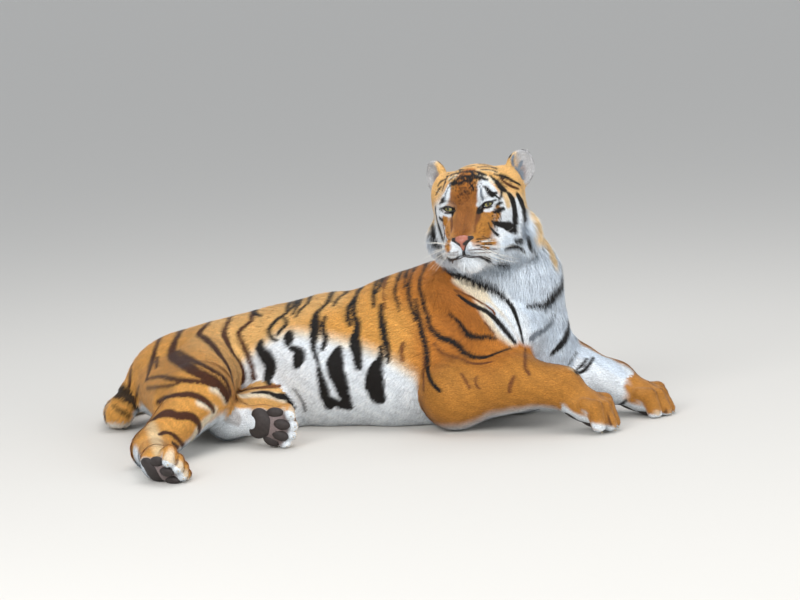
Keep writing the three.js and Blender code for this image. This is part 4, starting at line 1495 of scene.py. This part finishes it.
def make_eye(name, side, material):
    """An eyeball with its pole towards what it looks at."""
    out, down = math.radians(GAZE_OUT) * side, math.radians(GAZE_DOWN)
    gaze = vec((math.sin(out), -math.cos(out) * math.cos(down), -math.sin(down)))
    across = unit(np.cross(gaze, (0, 0, 1)))
    up = np.cross(across, gaze)
    slope = math.pi * (np.arange(1, EYE_RINGS) / EYE_RINGS) ** 1.3  # closer rings round the pupil
    turn = 2 * math.pi * np.arange(EYE_SIDES) / EYE_SIDES
    radius = EYEBALL - CORNEA_RISE + CORNEA_RISE * smooth(0.75, 0.1, slope) + CORNEA_RISE * 0.6
    a, t = turn[None, :, None], slope[:, None, None]
    rings = radius[:, None, None] * (np.sin(t) * (np.cos(a) * across + np.sin(a) * up) + np.cos(t) * gaze)
    places, faces = revolved(rings)
    eye = mesh_object(name, from_head(places + side * EYE), faces, material)
    reach = np.append(np.repeat(slope, len(turn)), (0, math.pi)) * EYEBALL
    around = np.append(np.tile(turn, len(slope)), (0, 0))
    give(eye.data, "iris_radius", "FLOAT", reach)
    give(eye.data, "iris_streak", "FLOAT_VECTOR",
         np.column_stack([7 * np.cos(around), 7 * np.sin(around), 0.12 * reach]))
    show(eye, "eye", name.replace("_ball", ""))


def on_lids(x, z):
    """A place on the lids' outer side, from the middle of the eyeball."""
    inside = 1 - (x / LID_RADII[0]) ** 2 - (z / LID_RADII[2]) ** 2
    return vec((x, -LID_RADII[1] * math.sqrt(max(inside, 0.04)), z))


RIM_RADII = (2.3, 2.9, 2.6, 2.0, 1.5, 1.4, 1.6, 2.3)  # from the outer corner, over the eye and back
CORNER_RADII = (2.6, 3.2, 3.0, 1.2)


def lid_rims():
    """The bare black edges of the lids, round both eyes and into their inner corners."""
    slant = math.radians(OPENING_SLANT)
    shapes = []
    for side in (-1, 1):
        rim = []
        for t in np.linspace(0, 2 * math.pi, 41):
            x, z = (OPENING_RADII[0] + 0.5) * math.cos(t), (OPENING_RADII[2] + 0.3) * math.sin(t)
            z *= 1 - 0.25 * (x / OPENING_RADII[0]) ** 2
            x, z = x * math.cos(slant) + z * math.sin(slant), z * math.cos(slant) - x * math.sin(slant)
            rim.append(on_lids(x + OPENING_PLACE[0], z + OPENING_PLACE[2]))
        for line, radii in ((np.array(rim), RIM_RADII), (curve_points(TEAR_CORNER, 2), CORNER_RADII)):
            shapes.append(tube((line + EYE) * (side, 1, 1), radii, (0, 1, 0)))
    return joined(shapes)


def nose_field(p):
    """The nose leather, in the head's frame: broad wings over a narrow foot, two nostrils and a cleft."""
    wings = paired(bone((5, -104, -80), (23, -97, -79), 13.5, 11.5))
    foot = bone((0, -106, -86), (0, -107, -103), 13, 6)
    nostril = paired(limb(3, [(11, -121, -91), (20, -117, -87), (29, -107, -85)], [3.8, 4.6, 3.0]))
    cleft = bone((0, -124, -78), (0, -118, -112), 1.0, 1.8)
    return dent(2.5, dent(2.5, blend(9, wings, foot), nostril), cleft)(p)


def nose_colours(p):
    """Pink in the middle, black in and round the nostrils."""
    half = folded(p)
    nostril = limb(3, [(11, -121, -91), (20, -117, -87), (30, -107, -84)], [3.8, 4.6, 3.0])(half)
    rim = smooth(16, 20, half[:, 0])
    foot = smooth(-1, 3, half[:, 0] - 0.52 * (p[:, 2] + 107))
    dark = np.maximum.reduce([smooth(6.0, 2.5, nostril), rim, foot * smooth(-76, -84, p[:, 2])])[:, None]
    return one_colour(p, "#A46350") * (1 - dark) + linear("#1B1413") * dark


def leather_material(name, pebble, depth, roughness, moist):
    """Bare animal leather: fine domed pebbles, a pebble and its height in millimetres."""
    material, tree = new_material(name)
    place = add_node(tree, "ShaderNodeTexCoord").outputs["Object"]
    painted = add_node(tree, "ShaderNodeAttribute", attribute_name="coat").outputs["Color"]
    cells = add_node(tree, "ShaderNodeTexVoronoi", [(place, "Vector")], Scale=1e3 / pebble)
    shade = toned(tree, painted, noise(tree, place, 120.0, 3.0), 0.82, 1.15)
    dome = add_node(tree, "ShaderNodeMapRange", [(cells.outputs["Distance"], "Value")],
                    To_Min=1.0, To_Max=0.0)
    relief = bumped(tree, dome.outputs["Result"], 0.6, depth * 1e-3)
    finish_material(tree, [(shade, "Base Color"), (relief, "Normal")], Roughness=roughness, IOR=1.42,
                    Coat_Weight=moist, Coat_Roughness=0.25)
    return material


NOSE_LOW, NOSE_HIGH = (-46, -132, -124), (46, -82, -58)
NOSE_STEP = 1.3
LIP_PROUD = (0, 1.5, 0)  # of its line behind the mouth's
LIP_RADII = (1.0, 1.5, 1.8, 1.9, 0.9)
PHILTRUM = [(0, -121, -108), (0, -119, -116), (0, -115, -124)]
PHILTRUM_RADII = (1.2, 1.8, 1.4)


def make_face_leather(nose_leather, lip_leather):
    places, quads = isosurface(nose_field, NOSE_LOW, NOSE_HIGH, NOSE_STEP)
    piece("nose_leather", from_head(places), quads, nose_leather, nose_colours(places),
          "nose_leather", "nose")
    run = curve_points(MOUTH, 4)
    lips = [tube(run * (side, 1, 1) + LIP_PROUD, LIP_RADII, (0, 1, 0.3)) for side in (-1, 1)]
    lips = joined(lips + [tube(PHILTRUM, PHILTRUM_RADII, (1, 0, 0))])
    for name, (places, faces), colour in (("eyelid_rims", lid_rims(), "#17110F"),
                                          ("lips", lips, "#221917")):
        piece(name, from_head(places), faces, lip_leather, one_colour(places, colour), "nose_leather")


# ---------------------------------------------------------------- feet


PROBES = 120  # of the sole's height under each pad
# The lobes of the main pad: across, behind the toes' tips and radii, in widths of the paw.
MAIN_PAD = [(0.2, 0.86, (0.18, 0.21, 0.16)), (-0.2, 0.86, (0.18, 0.21, 0.16)),
            (0, 0.72, (0.27, 0.26, 0.18))]
TOE_PAD = (0.13, 0.21, 0.15)
TOE_PADS = [(-0.35, 0.5, 12), (-0.135, 0.27, 4), (0.135, 0.27, -4), (0.35, 0.5, -12)]  # and degrees
PAD_CLEARANCE = 0.8  # over the floor


def pad_field(start, end, up, width, thick, proud, share):
    """The sole of a paw: a three-lobed main pad and four toe pads, in the animal's frame."""
    long = np.linalg.norm(vec(end) - vec(start))
    whole = paw_shape(long, width, thick)

    def pad(x, behind_tip, radii, spread=0):
        """A pad that stands proud of the sole, this far behind the toes' tips in widths of the paw."""
        column = np.linspace(-thick, 0, PROBES)
        x, y = x * share, long - behind_tip * width
        inside = whole(np.column_stack([np.full(PROBES, x * width), np.full(PROBES, y), column])) < 0
        bottom = column[np.argmax(inside)]
        return lump((x * width, y, bottom + radii[2] * thick - proud),
                    vec(radii) * (share * width, width, thick), (0, 0, spread))

    main = blend(9, *(pad(*lobe) for lobe in MAIN_PAD))
    toes = [pad(x, behind, TOE_PAD, spread) for x, behind, spread in TOE_PADS]
    in_place = placed(blend(1.5, main, *toes), start, paw_axes(start, end, up))
    return lambda p: -merge(-in_place(p), p[:, 2] - PAD_CLEARANCE, 1.0)


PAD_FIELDS = {name: pad_field(start, end, up, **size, proud=7 if "hind" in name else 2,
                              share=1.0 if "hind" in name else 0.58)
              for name, start, end, up, size in paws()}
PAD_STEP = 2.4
PAD_MARGIN = 12


def make_pads(material):
    for name, field in PAD_FIELDS.items():
        low, high = (vec(corner) * 1e3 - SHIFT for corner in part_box(name))
        places, quads = isosurface(field, low - PAD_MARGIN, high + PAD_MARGIN, PAD_STEP)
        piece("pads_" + name, places, quads, material, one_colour(places, "#332C2A"), "pad_leather")


CLAW_HEIGHT = 9  # of a claw's root over the floor, at least
CLAW_DROOP = 0.2  # of its way, downwards
CLAW_LENGTH = 13


def claw_roots():
    """Where each claw leaves its toe, and the way it points."""
    for _, start, end, up, size in paws():
        axes = paw_axes(start, end, up)
        long = np.linalg.norm(vec(end) - vec(start))
        for _, knuckle, tip in toe_places(long, size["width"], size["thick"]):
            ahead = unit(tip - knuckle)
            root = tip + ahead * (0.12 * size["width"]) + (0, 0, 0.03 * size["width"])
            root, way = vec(start) + root @ axes, (ahead + (0, 0, -CLAW_DROOP)) @ axes
            root[2], way[2] = max(root[2], CLAW_HEIGHT), max(way[2], -CLAW_DROOP)
            yield root, way


# ---------------------------------------------------------------- what repeats: claws and whiskers


def repeated(name, roots, directions, lengths, profile, bend, thickness, material, slot):
    """Tapered, bent horns or hairs, one on each root. Bend and thickness are shares of the length."""
    mesh = bpy.data.meshes.new(name)
    mesh.from_pydata([Vector(to_row(r)) for r in roots], [], [])
    give(mesh, "direction", "FLOAT_VECTOR", unit(directions))
    give(mesh, "reach", "FLOAT", vec(lengths) * 1e-3)
    host = in_scene(name, mesh)

    tree = bpy.data.node_groups.new(name + "_on_roots", "GeometryNodeTree")
    face = tree.interface
    face.new_socket("Geometry", in_out="INPUT", socket_type="NodeSocketGeometry")
    thick = face.new_socket("Thickness at the root", in_out="INPUT", socket_type="NodeSocketFloat")
    drop = face.new_socket("Bend", in_out="INPUT", socket_type="NodeSocketFloat")
    face.new_socket("Geometry", in_out="OUTPUT", socket_type="NodeSocketGeometry")
    ends = add_node(tree, "NodeGroupInput")
    middle = add_node(tree, "ShaderNodeCombineXYZ", [(ends.outputs["Bend"], "X")], Z=0.5)
    line = add_node(tree, "GeometryNodeCurveQuadraticBezier", [(middle.outputs[0], "Middle")],
                    Resolution=12, Start=(0, 0, 0), End=(0, 0, 1))
    along_it = add_node(tree, "GeometryNodeSplineParameter")
    taper = add_node(tree, "ShaderNodeFloatCurve", [(along_it.outputs["Factor"], "Value")])
    points = taper.mapping.curves[0].points
    for k, (x, y) in enumerate(profile):
        if k < 2:
            points[k].location = (x, y)
        else:
            points.new(x, y)
    taper.mapping.update()
    at_root = ends.outputs["Thickness at the root"]
    size = add_node(tree, "ShaderNodeMath", [(taper.outputs[0], 0), (at_root, 1)], operation="MULTIPLY")
    round_one = add_node(tree, "GeometryNodeCurvePrimitiveCircle", Resolution=6, Radius=0.5)
    skin_of_it = add_node(tree, "GeometryNodeCurveToMesh",
                          [(line.outputs["Curve"], "Curve"), (round_one.outputs["Curve"], "Profile Curve"),
                           (size.outputs[0], "Scale")], Fill_Caps=True)
    heading = add_node(tree, "GeometryNodeInputNamedAttribute", data_type="FLOAT_VECTOR", Name="direction")
    reach = add_node(tree, "GeometryNodeInputNamedAttribute", data_type="FLOAT", Name="reach")
    turn = add_node(tree, "FunctionNodeAlignRotationToVector", [(heading.outputs["Attribute"], "Vector")],
                    axis="Z")
    dots = add_node(tree, "GeometryNodeMeshToPoints", [(ends.outputs["Geometry"], "Mesh")])
    copies = add_node(tree, "GeometryNodeInstanceOnPoints",
                      [(dots.outputs["Points"], "Points"), (skin_of_it.outputs["Mesh"], "Instance"),
                       (turn.outputs["Rotation"], "Rotation"), (reach.outputs["Attribute"], "Scale")])
    real = add_node(tree, "GeometryNodeRealizeInstances", [(copies.outputs["Instances"], "Geometry")])
    painted = add_node(tree, "GeometryNodeSetMaterial", [(real.outputs["Geometry"], "Geometry")],
                       Material=material)
    add_node(tree, "NodeGroupOutput", [(painted.outputs["Geometry"], "Geometry")])

    maker = host.modifiers.new("maker", "NODES")
    maker.node_group = tree
    maker[thick.identifier] = thickness
    maker[drop.identifier] = bend
    finished = bpy.data.meshes.new_from_object(host.evaluated_get(bpy.context.evaluated_depsgraph_get()))
    host.modifiers.clear()
    host.data = finished
    for polygon in finished.polygons:
        polygon.use_smooth = True
    show(host, slot)


def horn_material(name, hexa, roughness):
    """Keratin: smooth, and faintly streaked."""
    material, tree = new_material(name)
    place = add_node(tree, "ShaderNodeTexCoord")
    grain = noise(tree, place.outputs["Object"], 400.0, 2.0)
    shade = add_node(tree, "ShaderNodeMix", [(grain, 0)], data_type="RGBA")
    for socket, gain in (("A", 0.8), ("B", 1.15)):
        colour = next(i for i in shade.inputs if i.name == socket and i.type == "RGBA")
        colour.default_value = (*np.clip(gain * linear(hexa), 0, 1), 1)
    result = next(o for o in shade.outputs if o.type == "RGBA")
    finish_material(tree, [(result, "Base Color"), (bumped(tree, grain, 0.2, 0.0002), "Normal")],
                    Roughness=roughness, IOR=1.54)
    return material


WHISKER_ROWS = (-86, -94, -102, -110)  # heights on the whisker pads
BEFORE_NOSE = -190  # where a whisker's root is looked for from


def whisker_roots(skin, rng):
    """Roots, directions and lengths of the whiskers on the lips and cheeks and over the eyes."""
    roots, ways, lengths = [], [], []

    def grow(side, x, z, way, length):
        start = from_head(vec((side * x, BEFORE_NOSE, z)))
        hit = skin.tree.ray_cast(Vector(start), Vector(HEAD_AXES[1]))
        if hit[0] is not None:
            roots.append(vec(hit[0]) - 1.5 * vec(hit[1]))
            ways.append((vec(way) * (side, 1, 1)) @ HEAD_AXES)
            lengths.append(length * rng.uniform(0.85, 1.12))

    for side in (-1, 1):
        for row, z in enumerate(WHISKER_ROWS):
            for t in np.linspace(0, 1, 5):
                way = (1.0, 0.15 + 0.5 * t, 0.1 - 0.28 * row + rng.normal(0, 0.08))
                grow(side, 30 + 25 * t, z - 5 * t, way, 64 + 44 * t)
        for k in range(3):
            grow(side, 46 + 7 * k, 24 + 3 * k, (0.35 + 0.25 * k, -0.4, 0.9), 46)
        grow(side, 78, -36, (1.0, -0.1, -0.1), 44)
    return roots, ways, lengths


# ---------------------------------------------------------------- the coat


def along(points, line):
    """The direction of the nearest stretch of a line, eased between its stretches."""
    line = vec(line)
    total = np.zeros_like(points)
    for i in range(len(line) - 1):
        a, d = line[i], line[i + 1] - line[i]
        t = np.clip((points - a) @ d / (d @ d), 0, 1)
        gap = np.linalg.norm(points - a - t[:, None] * d, axis=1)
        total += unit(d) / (gap[:, None] ** 4 + 1)
    return unit(total)


def lie_of_coat(skin):
    """The direction in which the hair lies at each corner of the skin."""
    lie = np.zeros_like(skin.places)
    h = to_head(skin.places)
    for n, part in enumerate(PARTS):
        here = skin.owner == n
        p = skin.places[here]
        if part.flow is not None:
            lie[here] = along(p, part.flow) + np.array([0, 0, -part.droop])
            continue
        q = h[here]
        if part.name == "head":
            away = unit(q - vec((0, -116, -80)))
            side = smooth(50, 84, np.abs(q[:, 0])) * smooth(70, 20, q[:, 2])
            hanging = unit(np.column_stack([0.22 * np.sign(q[:, 0]), np.full(len(q), 0.35),
                                            np.full(len(q), -1.0)]))
            away = away * (1 - side[:, None]) + hanging * side[:, None]
            away[:, 2] -= 0.5 * smooth(-100, -150, q[:, 2])
            away[:, 1] += 0.4 * smooth(-40, 60, q[:, 1]) * (1 - side)
        else:
            away = np.tile(EAR_AXES[2], (len(q), 1))
            away[:, 0] += 0.5
            away[:, 0] *= np.sign(q[:, 0])
        lie[here] = away @ HEAD_AXES

    flatten = lambda v: unit(v - (v * skin.normals).sum(1)[:, None] * skin.normals)
    lie = flatten(lie)
    for _ in range(5):
        lie = flatten(skin.spread(lie, 3))
    return lie


def coat_numbers(skin):
    """Length, lift, width and skin area of a tuft at each corner of the skin."""
    table = np.array([[p.length, math.radians(p.lift), p.width, p.area] for p in PARTS])
    values = table[skin.owner]
    h = to_head(skin.places)
    on_head = skin.owner == PART_NAMES.index("head")
    from_nose = np.linalg.norm(h - vec((0, -110, -80)), axis=1)
    long = 4 + 5 * smooth(20, 130, from_nose)
    a = np.abs(h[:, 0])
    ruff = smooth(92, 140, a) * smooth(-20, -80, h[:, 2])
    chin = smooth(-128, -150, h[:, 2]) * smooth(0, -40, h[:, 1])
    back = smooth(70, 130, h[:, 1])
    jaw = smooth(-105, -160, h[:, 2])
    long = np.maximum.reduce([long, 10 + 26 * ruff, 5 + 16 * chin, 8 + 22 * jaw, 9 + 12 * back])
    values[on_head, 0] = long[on_head]
    values[on_head, 1] = np.radians(13 + 9 * np.maximum(ruff, chin))[on_head]
    values[on_head, 2] = (1.0 + 1.6 * smooth(6, 40, long))[on_head]
    values[on_head, 3] = (1.3 + 3.4 * smooth(5, 30, long))[on_head]
    return skin.spread(values, 8)


BESIDE_NOSE = 2  # how far from the nose, and from a pad, the hair begins
BESIDE_PAD = 2.5
RESTING = FLOOR_CLEARANCE + 1.2  # height under which the skin rests on the floor


def bare_skin(points):
    """True where no hair grows: the open eyes, the nose, the lips, the pads and what rests on the floor."""
    h = to_head(points)
    half = folded(h)
    radii = np.array(OPENING_RADII) + (2.5, 8, 2.5)
    opening = lump(EYE + OPENING_PLACE, radii, (0, OPENING_SLANT, 0))(half) < 0
    corner = limb(2, [EYE + p for p in TEAR_CORNER], [5.5, 5, 3.5])(half) < 0
    lips = limb(2, MOUTH, [3.5] * len(MOUTH))(half) < 0
    bare = opening | corner | lips | (nose_field(h) < BESIDE_NOSE) | (points[:, 2] < RESTING)
    for field in PAD_FIELDS.values():
        bare |= field(points) < BESIDE_PAD
    return bare


TINTS_AT = (0.25, 0.7)  # shares of a tuft's length where its near and far colours are read
LENGTHS, LIFTS, WIDTHS, TONES = (0.7, 1.25), (0.6, 1.5), (0.75, 1.2), (0.8, 1.14)  # least and most
CLUMP_TURN, OWN_TURN = 7, 9  # degrees that a tuft turns with its neighbours and by itself


def grow_tufts(skin, lie, numbers, marks, rng):
    """Roots, and every value of each tuft."""
    per_face = numbers[skin.faces].mean(1)
    expected = skin.area / per_face[:, 3]
    count = rng.poisson(expected)
    face = np.repeat(np.arange(len(skin.faces)), count)
    r = rng.random((len(face), 2))
    flip = r.sum(1) > 1
    r[flip] = 1 - r[flip]
    w = np.column_stack([1 - r.sum(1), r])
    corners = skin.faces[face]
    mix = lambda values: (values[corners] * w[..., None]).sum(1)
    roots, normals = mix(skin.places), unit(mix(skin.normals))
    keep = ~bare_skin(roots)
    roots, normals, corners, w = roots[keep], normals[keep], corners[keep], w[keep]
    direction, values = mix(lie), mix(numbers)
    owner = skin.owner[corners[np.arange(len(corners)), w.argmax(1)]]
    length, lift, width = values[:, 0], values[:, 1], values[:, 2]
    length = length * rng.uniform(*LENGTHS, len(length))
    # clumps: neighbouring tufts lean the same way
    wave = np.sin(roots @ vec((0.11, 0.05, 0.09)) + 2 * np.sin(roots @ vec((0.03, 0.08, -0.05))))
    angle = np.radians(CLUMP_TURN) * wave + rng.normal(0, np.radians(OWN_TURN), len(roots))
    side = unit(np.cross(normals, direction))
    direction = unit(np.cross(side, normals))
    direction, side = (direction * np.cos(angle)[:, None] + side * np.sin(angle)[:, None],
                       side * np.cos(angle)[:, None] - direction * np.sin(angle)[:, None])
    lift = lift * rng.uniform(*LIFTS, len(lift))
    tone = rng.uniform(*TONES, len(roots))[:, None] * (1 + 0.07 * wave[:, None])
    near, far = (tone * coat_colours(roots + direction * (share * length)[:, None], normals, owner, marks)
                 for share in TINTS_AT)
    return dict(root=roots, normal=normals, lie=direction, side=side, length=length, lift=lift,
                width=width * rng.uniform(*WIDTHS, len(roots)), near=near, far=far, owner=owner)


ROOT_DEPTH = 1.2  # of a tuft in the skin
TUFT_BENDS = [(0.38, 1.5), (0.62, 0.35)]  # a tuft's stretches: share of its length, steepness in lifts
LEAST_HEIGHT = 0.6  # of a tuft over the floor


def tuft_mesh(tufts):
    """Places, triangles, normals and colours of the tufts, each a leaf that rises and lies back."""
    root, n, d, s = (tufts[k] for k in ("root", "normal", "lie", "side"))
    length, lift, width = (tufts[k][:, None] for k in ("length", "lift", "width"))
    spots = [root - n * ROOT_DEPTH]
    for share, slope in TUFT_BENDS:
        rise = lift * slope
        spots.append(spots[-1] + share * length * (np.cos(rise) * d + np.sin(rise) * n))
    foot, middle, tip = spots
    half = 0.5 * width
    v = np.stack([foot, middle - half * s, middle + half * s, tip], 1)
    v[..., 2] = np.maximum(v[..., 2], LEAST_HEIGHT)
    normal = unit(np.stack([n, n - 0.4 * s, n + 0.4 * s, n + 0.15 * d], 1))
    near, far = tufts["near"], tufts["far"]
    # Each tuft is darker at its root, as painted shade inside the coat, and lighter at its tip.
    both = 0.97 * (0.5 * (near + far))
    colour = np.clip(np.stack([0.7 * near, both, both, 1.12 * far], 1), 0, 1)
    base = 4 * np.arange(len(root))[:, None]
    faces = np.concatenate([base + [0, 1, 2], base + [1, 3, 2]], 1).reshape(-1, 3)
    return v.reshape(-1, 3), faces, normal.reshape(-1, 3), colour.reshape(-1, 3)


PATCH = 0.003  # of the map, for each tuft
CELL_MARGIN = 0.02


def unwrapped(roots, normals):
    """A place on a map of the skin: six sides, each laid flat in its own cell of three by two."""
    low, size = roots.min(0), (roots.max(0) - roots.min(0)).max() + 1e-6
    axis = np.abs(normals).argmax(1)
    sign = normals[np.arange(len(normals)), axis] > 0
    flat = (roots - low) / size
    u = np.choose(axis, [flat[:, 1], flat[:, 0], flat[:, 0]])
    v = np.choose(axis, [flat[:, 2], flat[:, 2], flat[:, 1]])
    cell = lambda value, n, of: (n + CELL_MARGIN + value * (1 - 2 * CELL_MARGIN)) / of
    return np.column_stack([cell(u, axis, 3), cell(v, sign.astype(int), 2)])


def coat_piece(name, tufts, material):
    places, faces, normals, colours = tuft_mesh(tufts)
    thing = mesh_object(name, places, faces, material)
    give(thing.data, "custom_normal", "FLOAT_VECTOR", normals)
    tint(thing, colours)
    spot = unwrapped(tufts["root"], tufts["normal"])
    offsets = PATCH * np.array([(0, -0.5), (-0.5, 0), (0.5, 0), (0, 0.5)])
    corner = (spot[:, None, :] + offsets[None]).reshape(-1, 2)[faces.ravel()]
    thing.data.uv_layers.new(name="OFBake").data.foreach_set("uv", corner.astype(np.float32).ravel())
    show(thing, "coat")


COAT_GROUPS = {
    "coat_head": ("head",), "coat_ears": ("ear_left", "ear_right"), "coat_neck": ("neck",),
    "coat_trunk": ("trunk",),
    "coat_foreleg_right": ("shoulder_right", "forearm_right", "forepaw_right"),
    "coat_foreleg_left": ("shoulder_left", "forearm_left", "forepaw_left"),
    "coat_hindleg_right": ("thigh_right", "shank_right", "hind_paw_right"),
    "coat_hindleg_left": ("thigh_left", "shank_left", "hind_paw_left"),
    "coat_tail": ("tail",),
}
PIECE_TUFTS = 90000  # at two triangles each, under the limit for one piece


def make_coat(skin, lie, numbers, marks, material):
    tufts = grow_tufts(skin, lie, numbers, marks, np.random.default_rng(SEED))
    for name, members in COAT_GROUPS.items():
        chosen = np.nonzero(np.isin(np.array(PART_NAMES)[tufts["owner"]], members))[0]
        parts = max(1, math.ceil(len(chosen) / PIECE_TUFTS))
        roots = tufts["root"][chosen]
        longest = np.ptp(roots, axis=0).argmax()
        chosen = chosen[np.argsort(roots[:, longest], kind="stable")]
        for n, some in enumerate(np.array_split(chosen, parts)):
            full_name = f"{name}_{n + 1}" if parts > 1 else name
            coat_piece(full_name, {k: v[some] for k, v in tufts.items()}, material)


# ---------------------------------------------------------------- assembly

# The skin between the tufts is painted darker than the coat, as the shade under them.
UNDER_TUFTS = 0.8  # how much of the coat's colour the skin has

make_camera()
make_studio()
fur = fur_material("tiger_fur", 0.3)
skin = Skin(*make_skin())
marks = all_marks(skin)
piece("skin", skin.places, skin.faces, fur,
      UNDER_TUFTS * coat_colours(skin.places, skin.normals, skin.owner, marks), "coat",
      *[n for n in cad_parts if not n.startswith("eye") and n != "nose"])
make_coat(skin, lie_of_coat(skin), coat_numbers(skin), marks, fur)

wet = eye_material()
for side, sign in (("left", 1), ("right", -1)):
    make_eye(f"eye_{side}_ball", sign, wet)
make_face_leather(
    leather_material("nose_leather", pebble=0.9, depth=0.25, roughness=0.42, moist=0.35),
    leather_material("lip_leather", pebble=1.2, depth=0.15, roughness=0.4, moist=0.4))
make_pads(leather_material("pad_leather", pebble=1.6, depth=0.5, roughness=0.62, moist=0.0))
roots, ways = zip(*claw_roots())
repeated("claws", roots, ways, [CLAW_LENGTH] * len(roots), profile=[(0, 1), (1, 0.08), (0.6, 0.62)],
         bend=0.22, thickness=0.36, material=horn_material("claw_horn", "#B9A98C", 0.3), slot="claw")
roots, ways, lengths = whisker_roots(skin, np.random.default_rng(SEED))
repeated("whiskers", roots, ways, lengths, profile=[(0, 1), (1, 0.15), (0.5, 0.75)],
         bend=0.12, thickness=0.01, material=horn_material("whisker_hair", "#F1EEE6", 0.35), slot="coat")
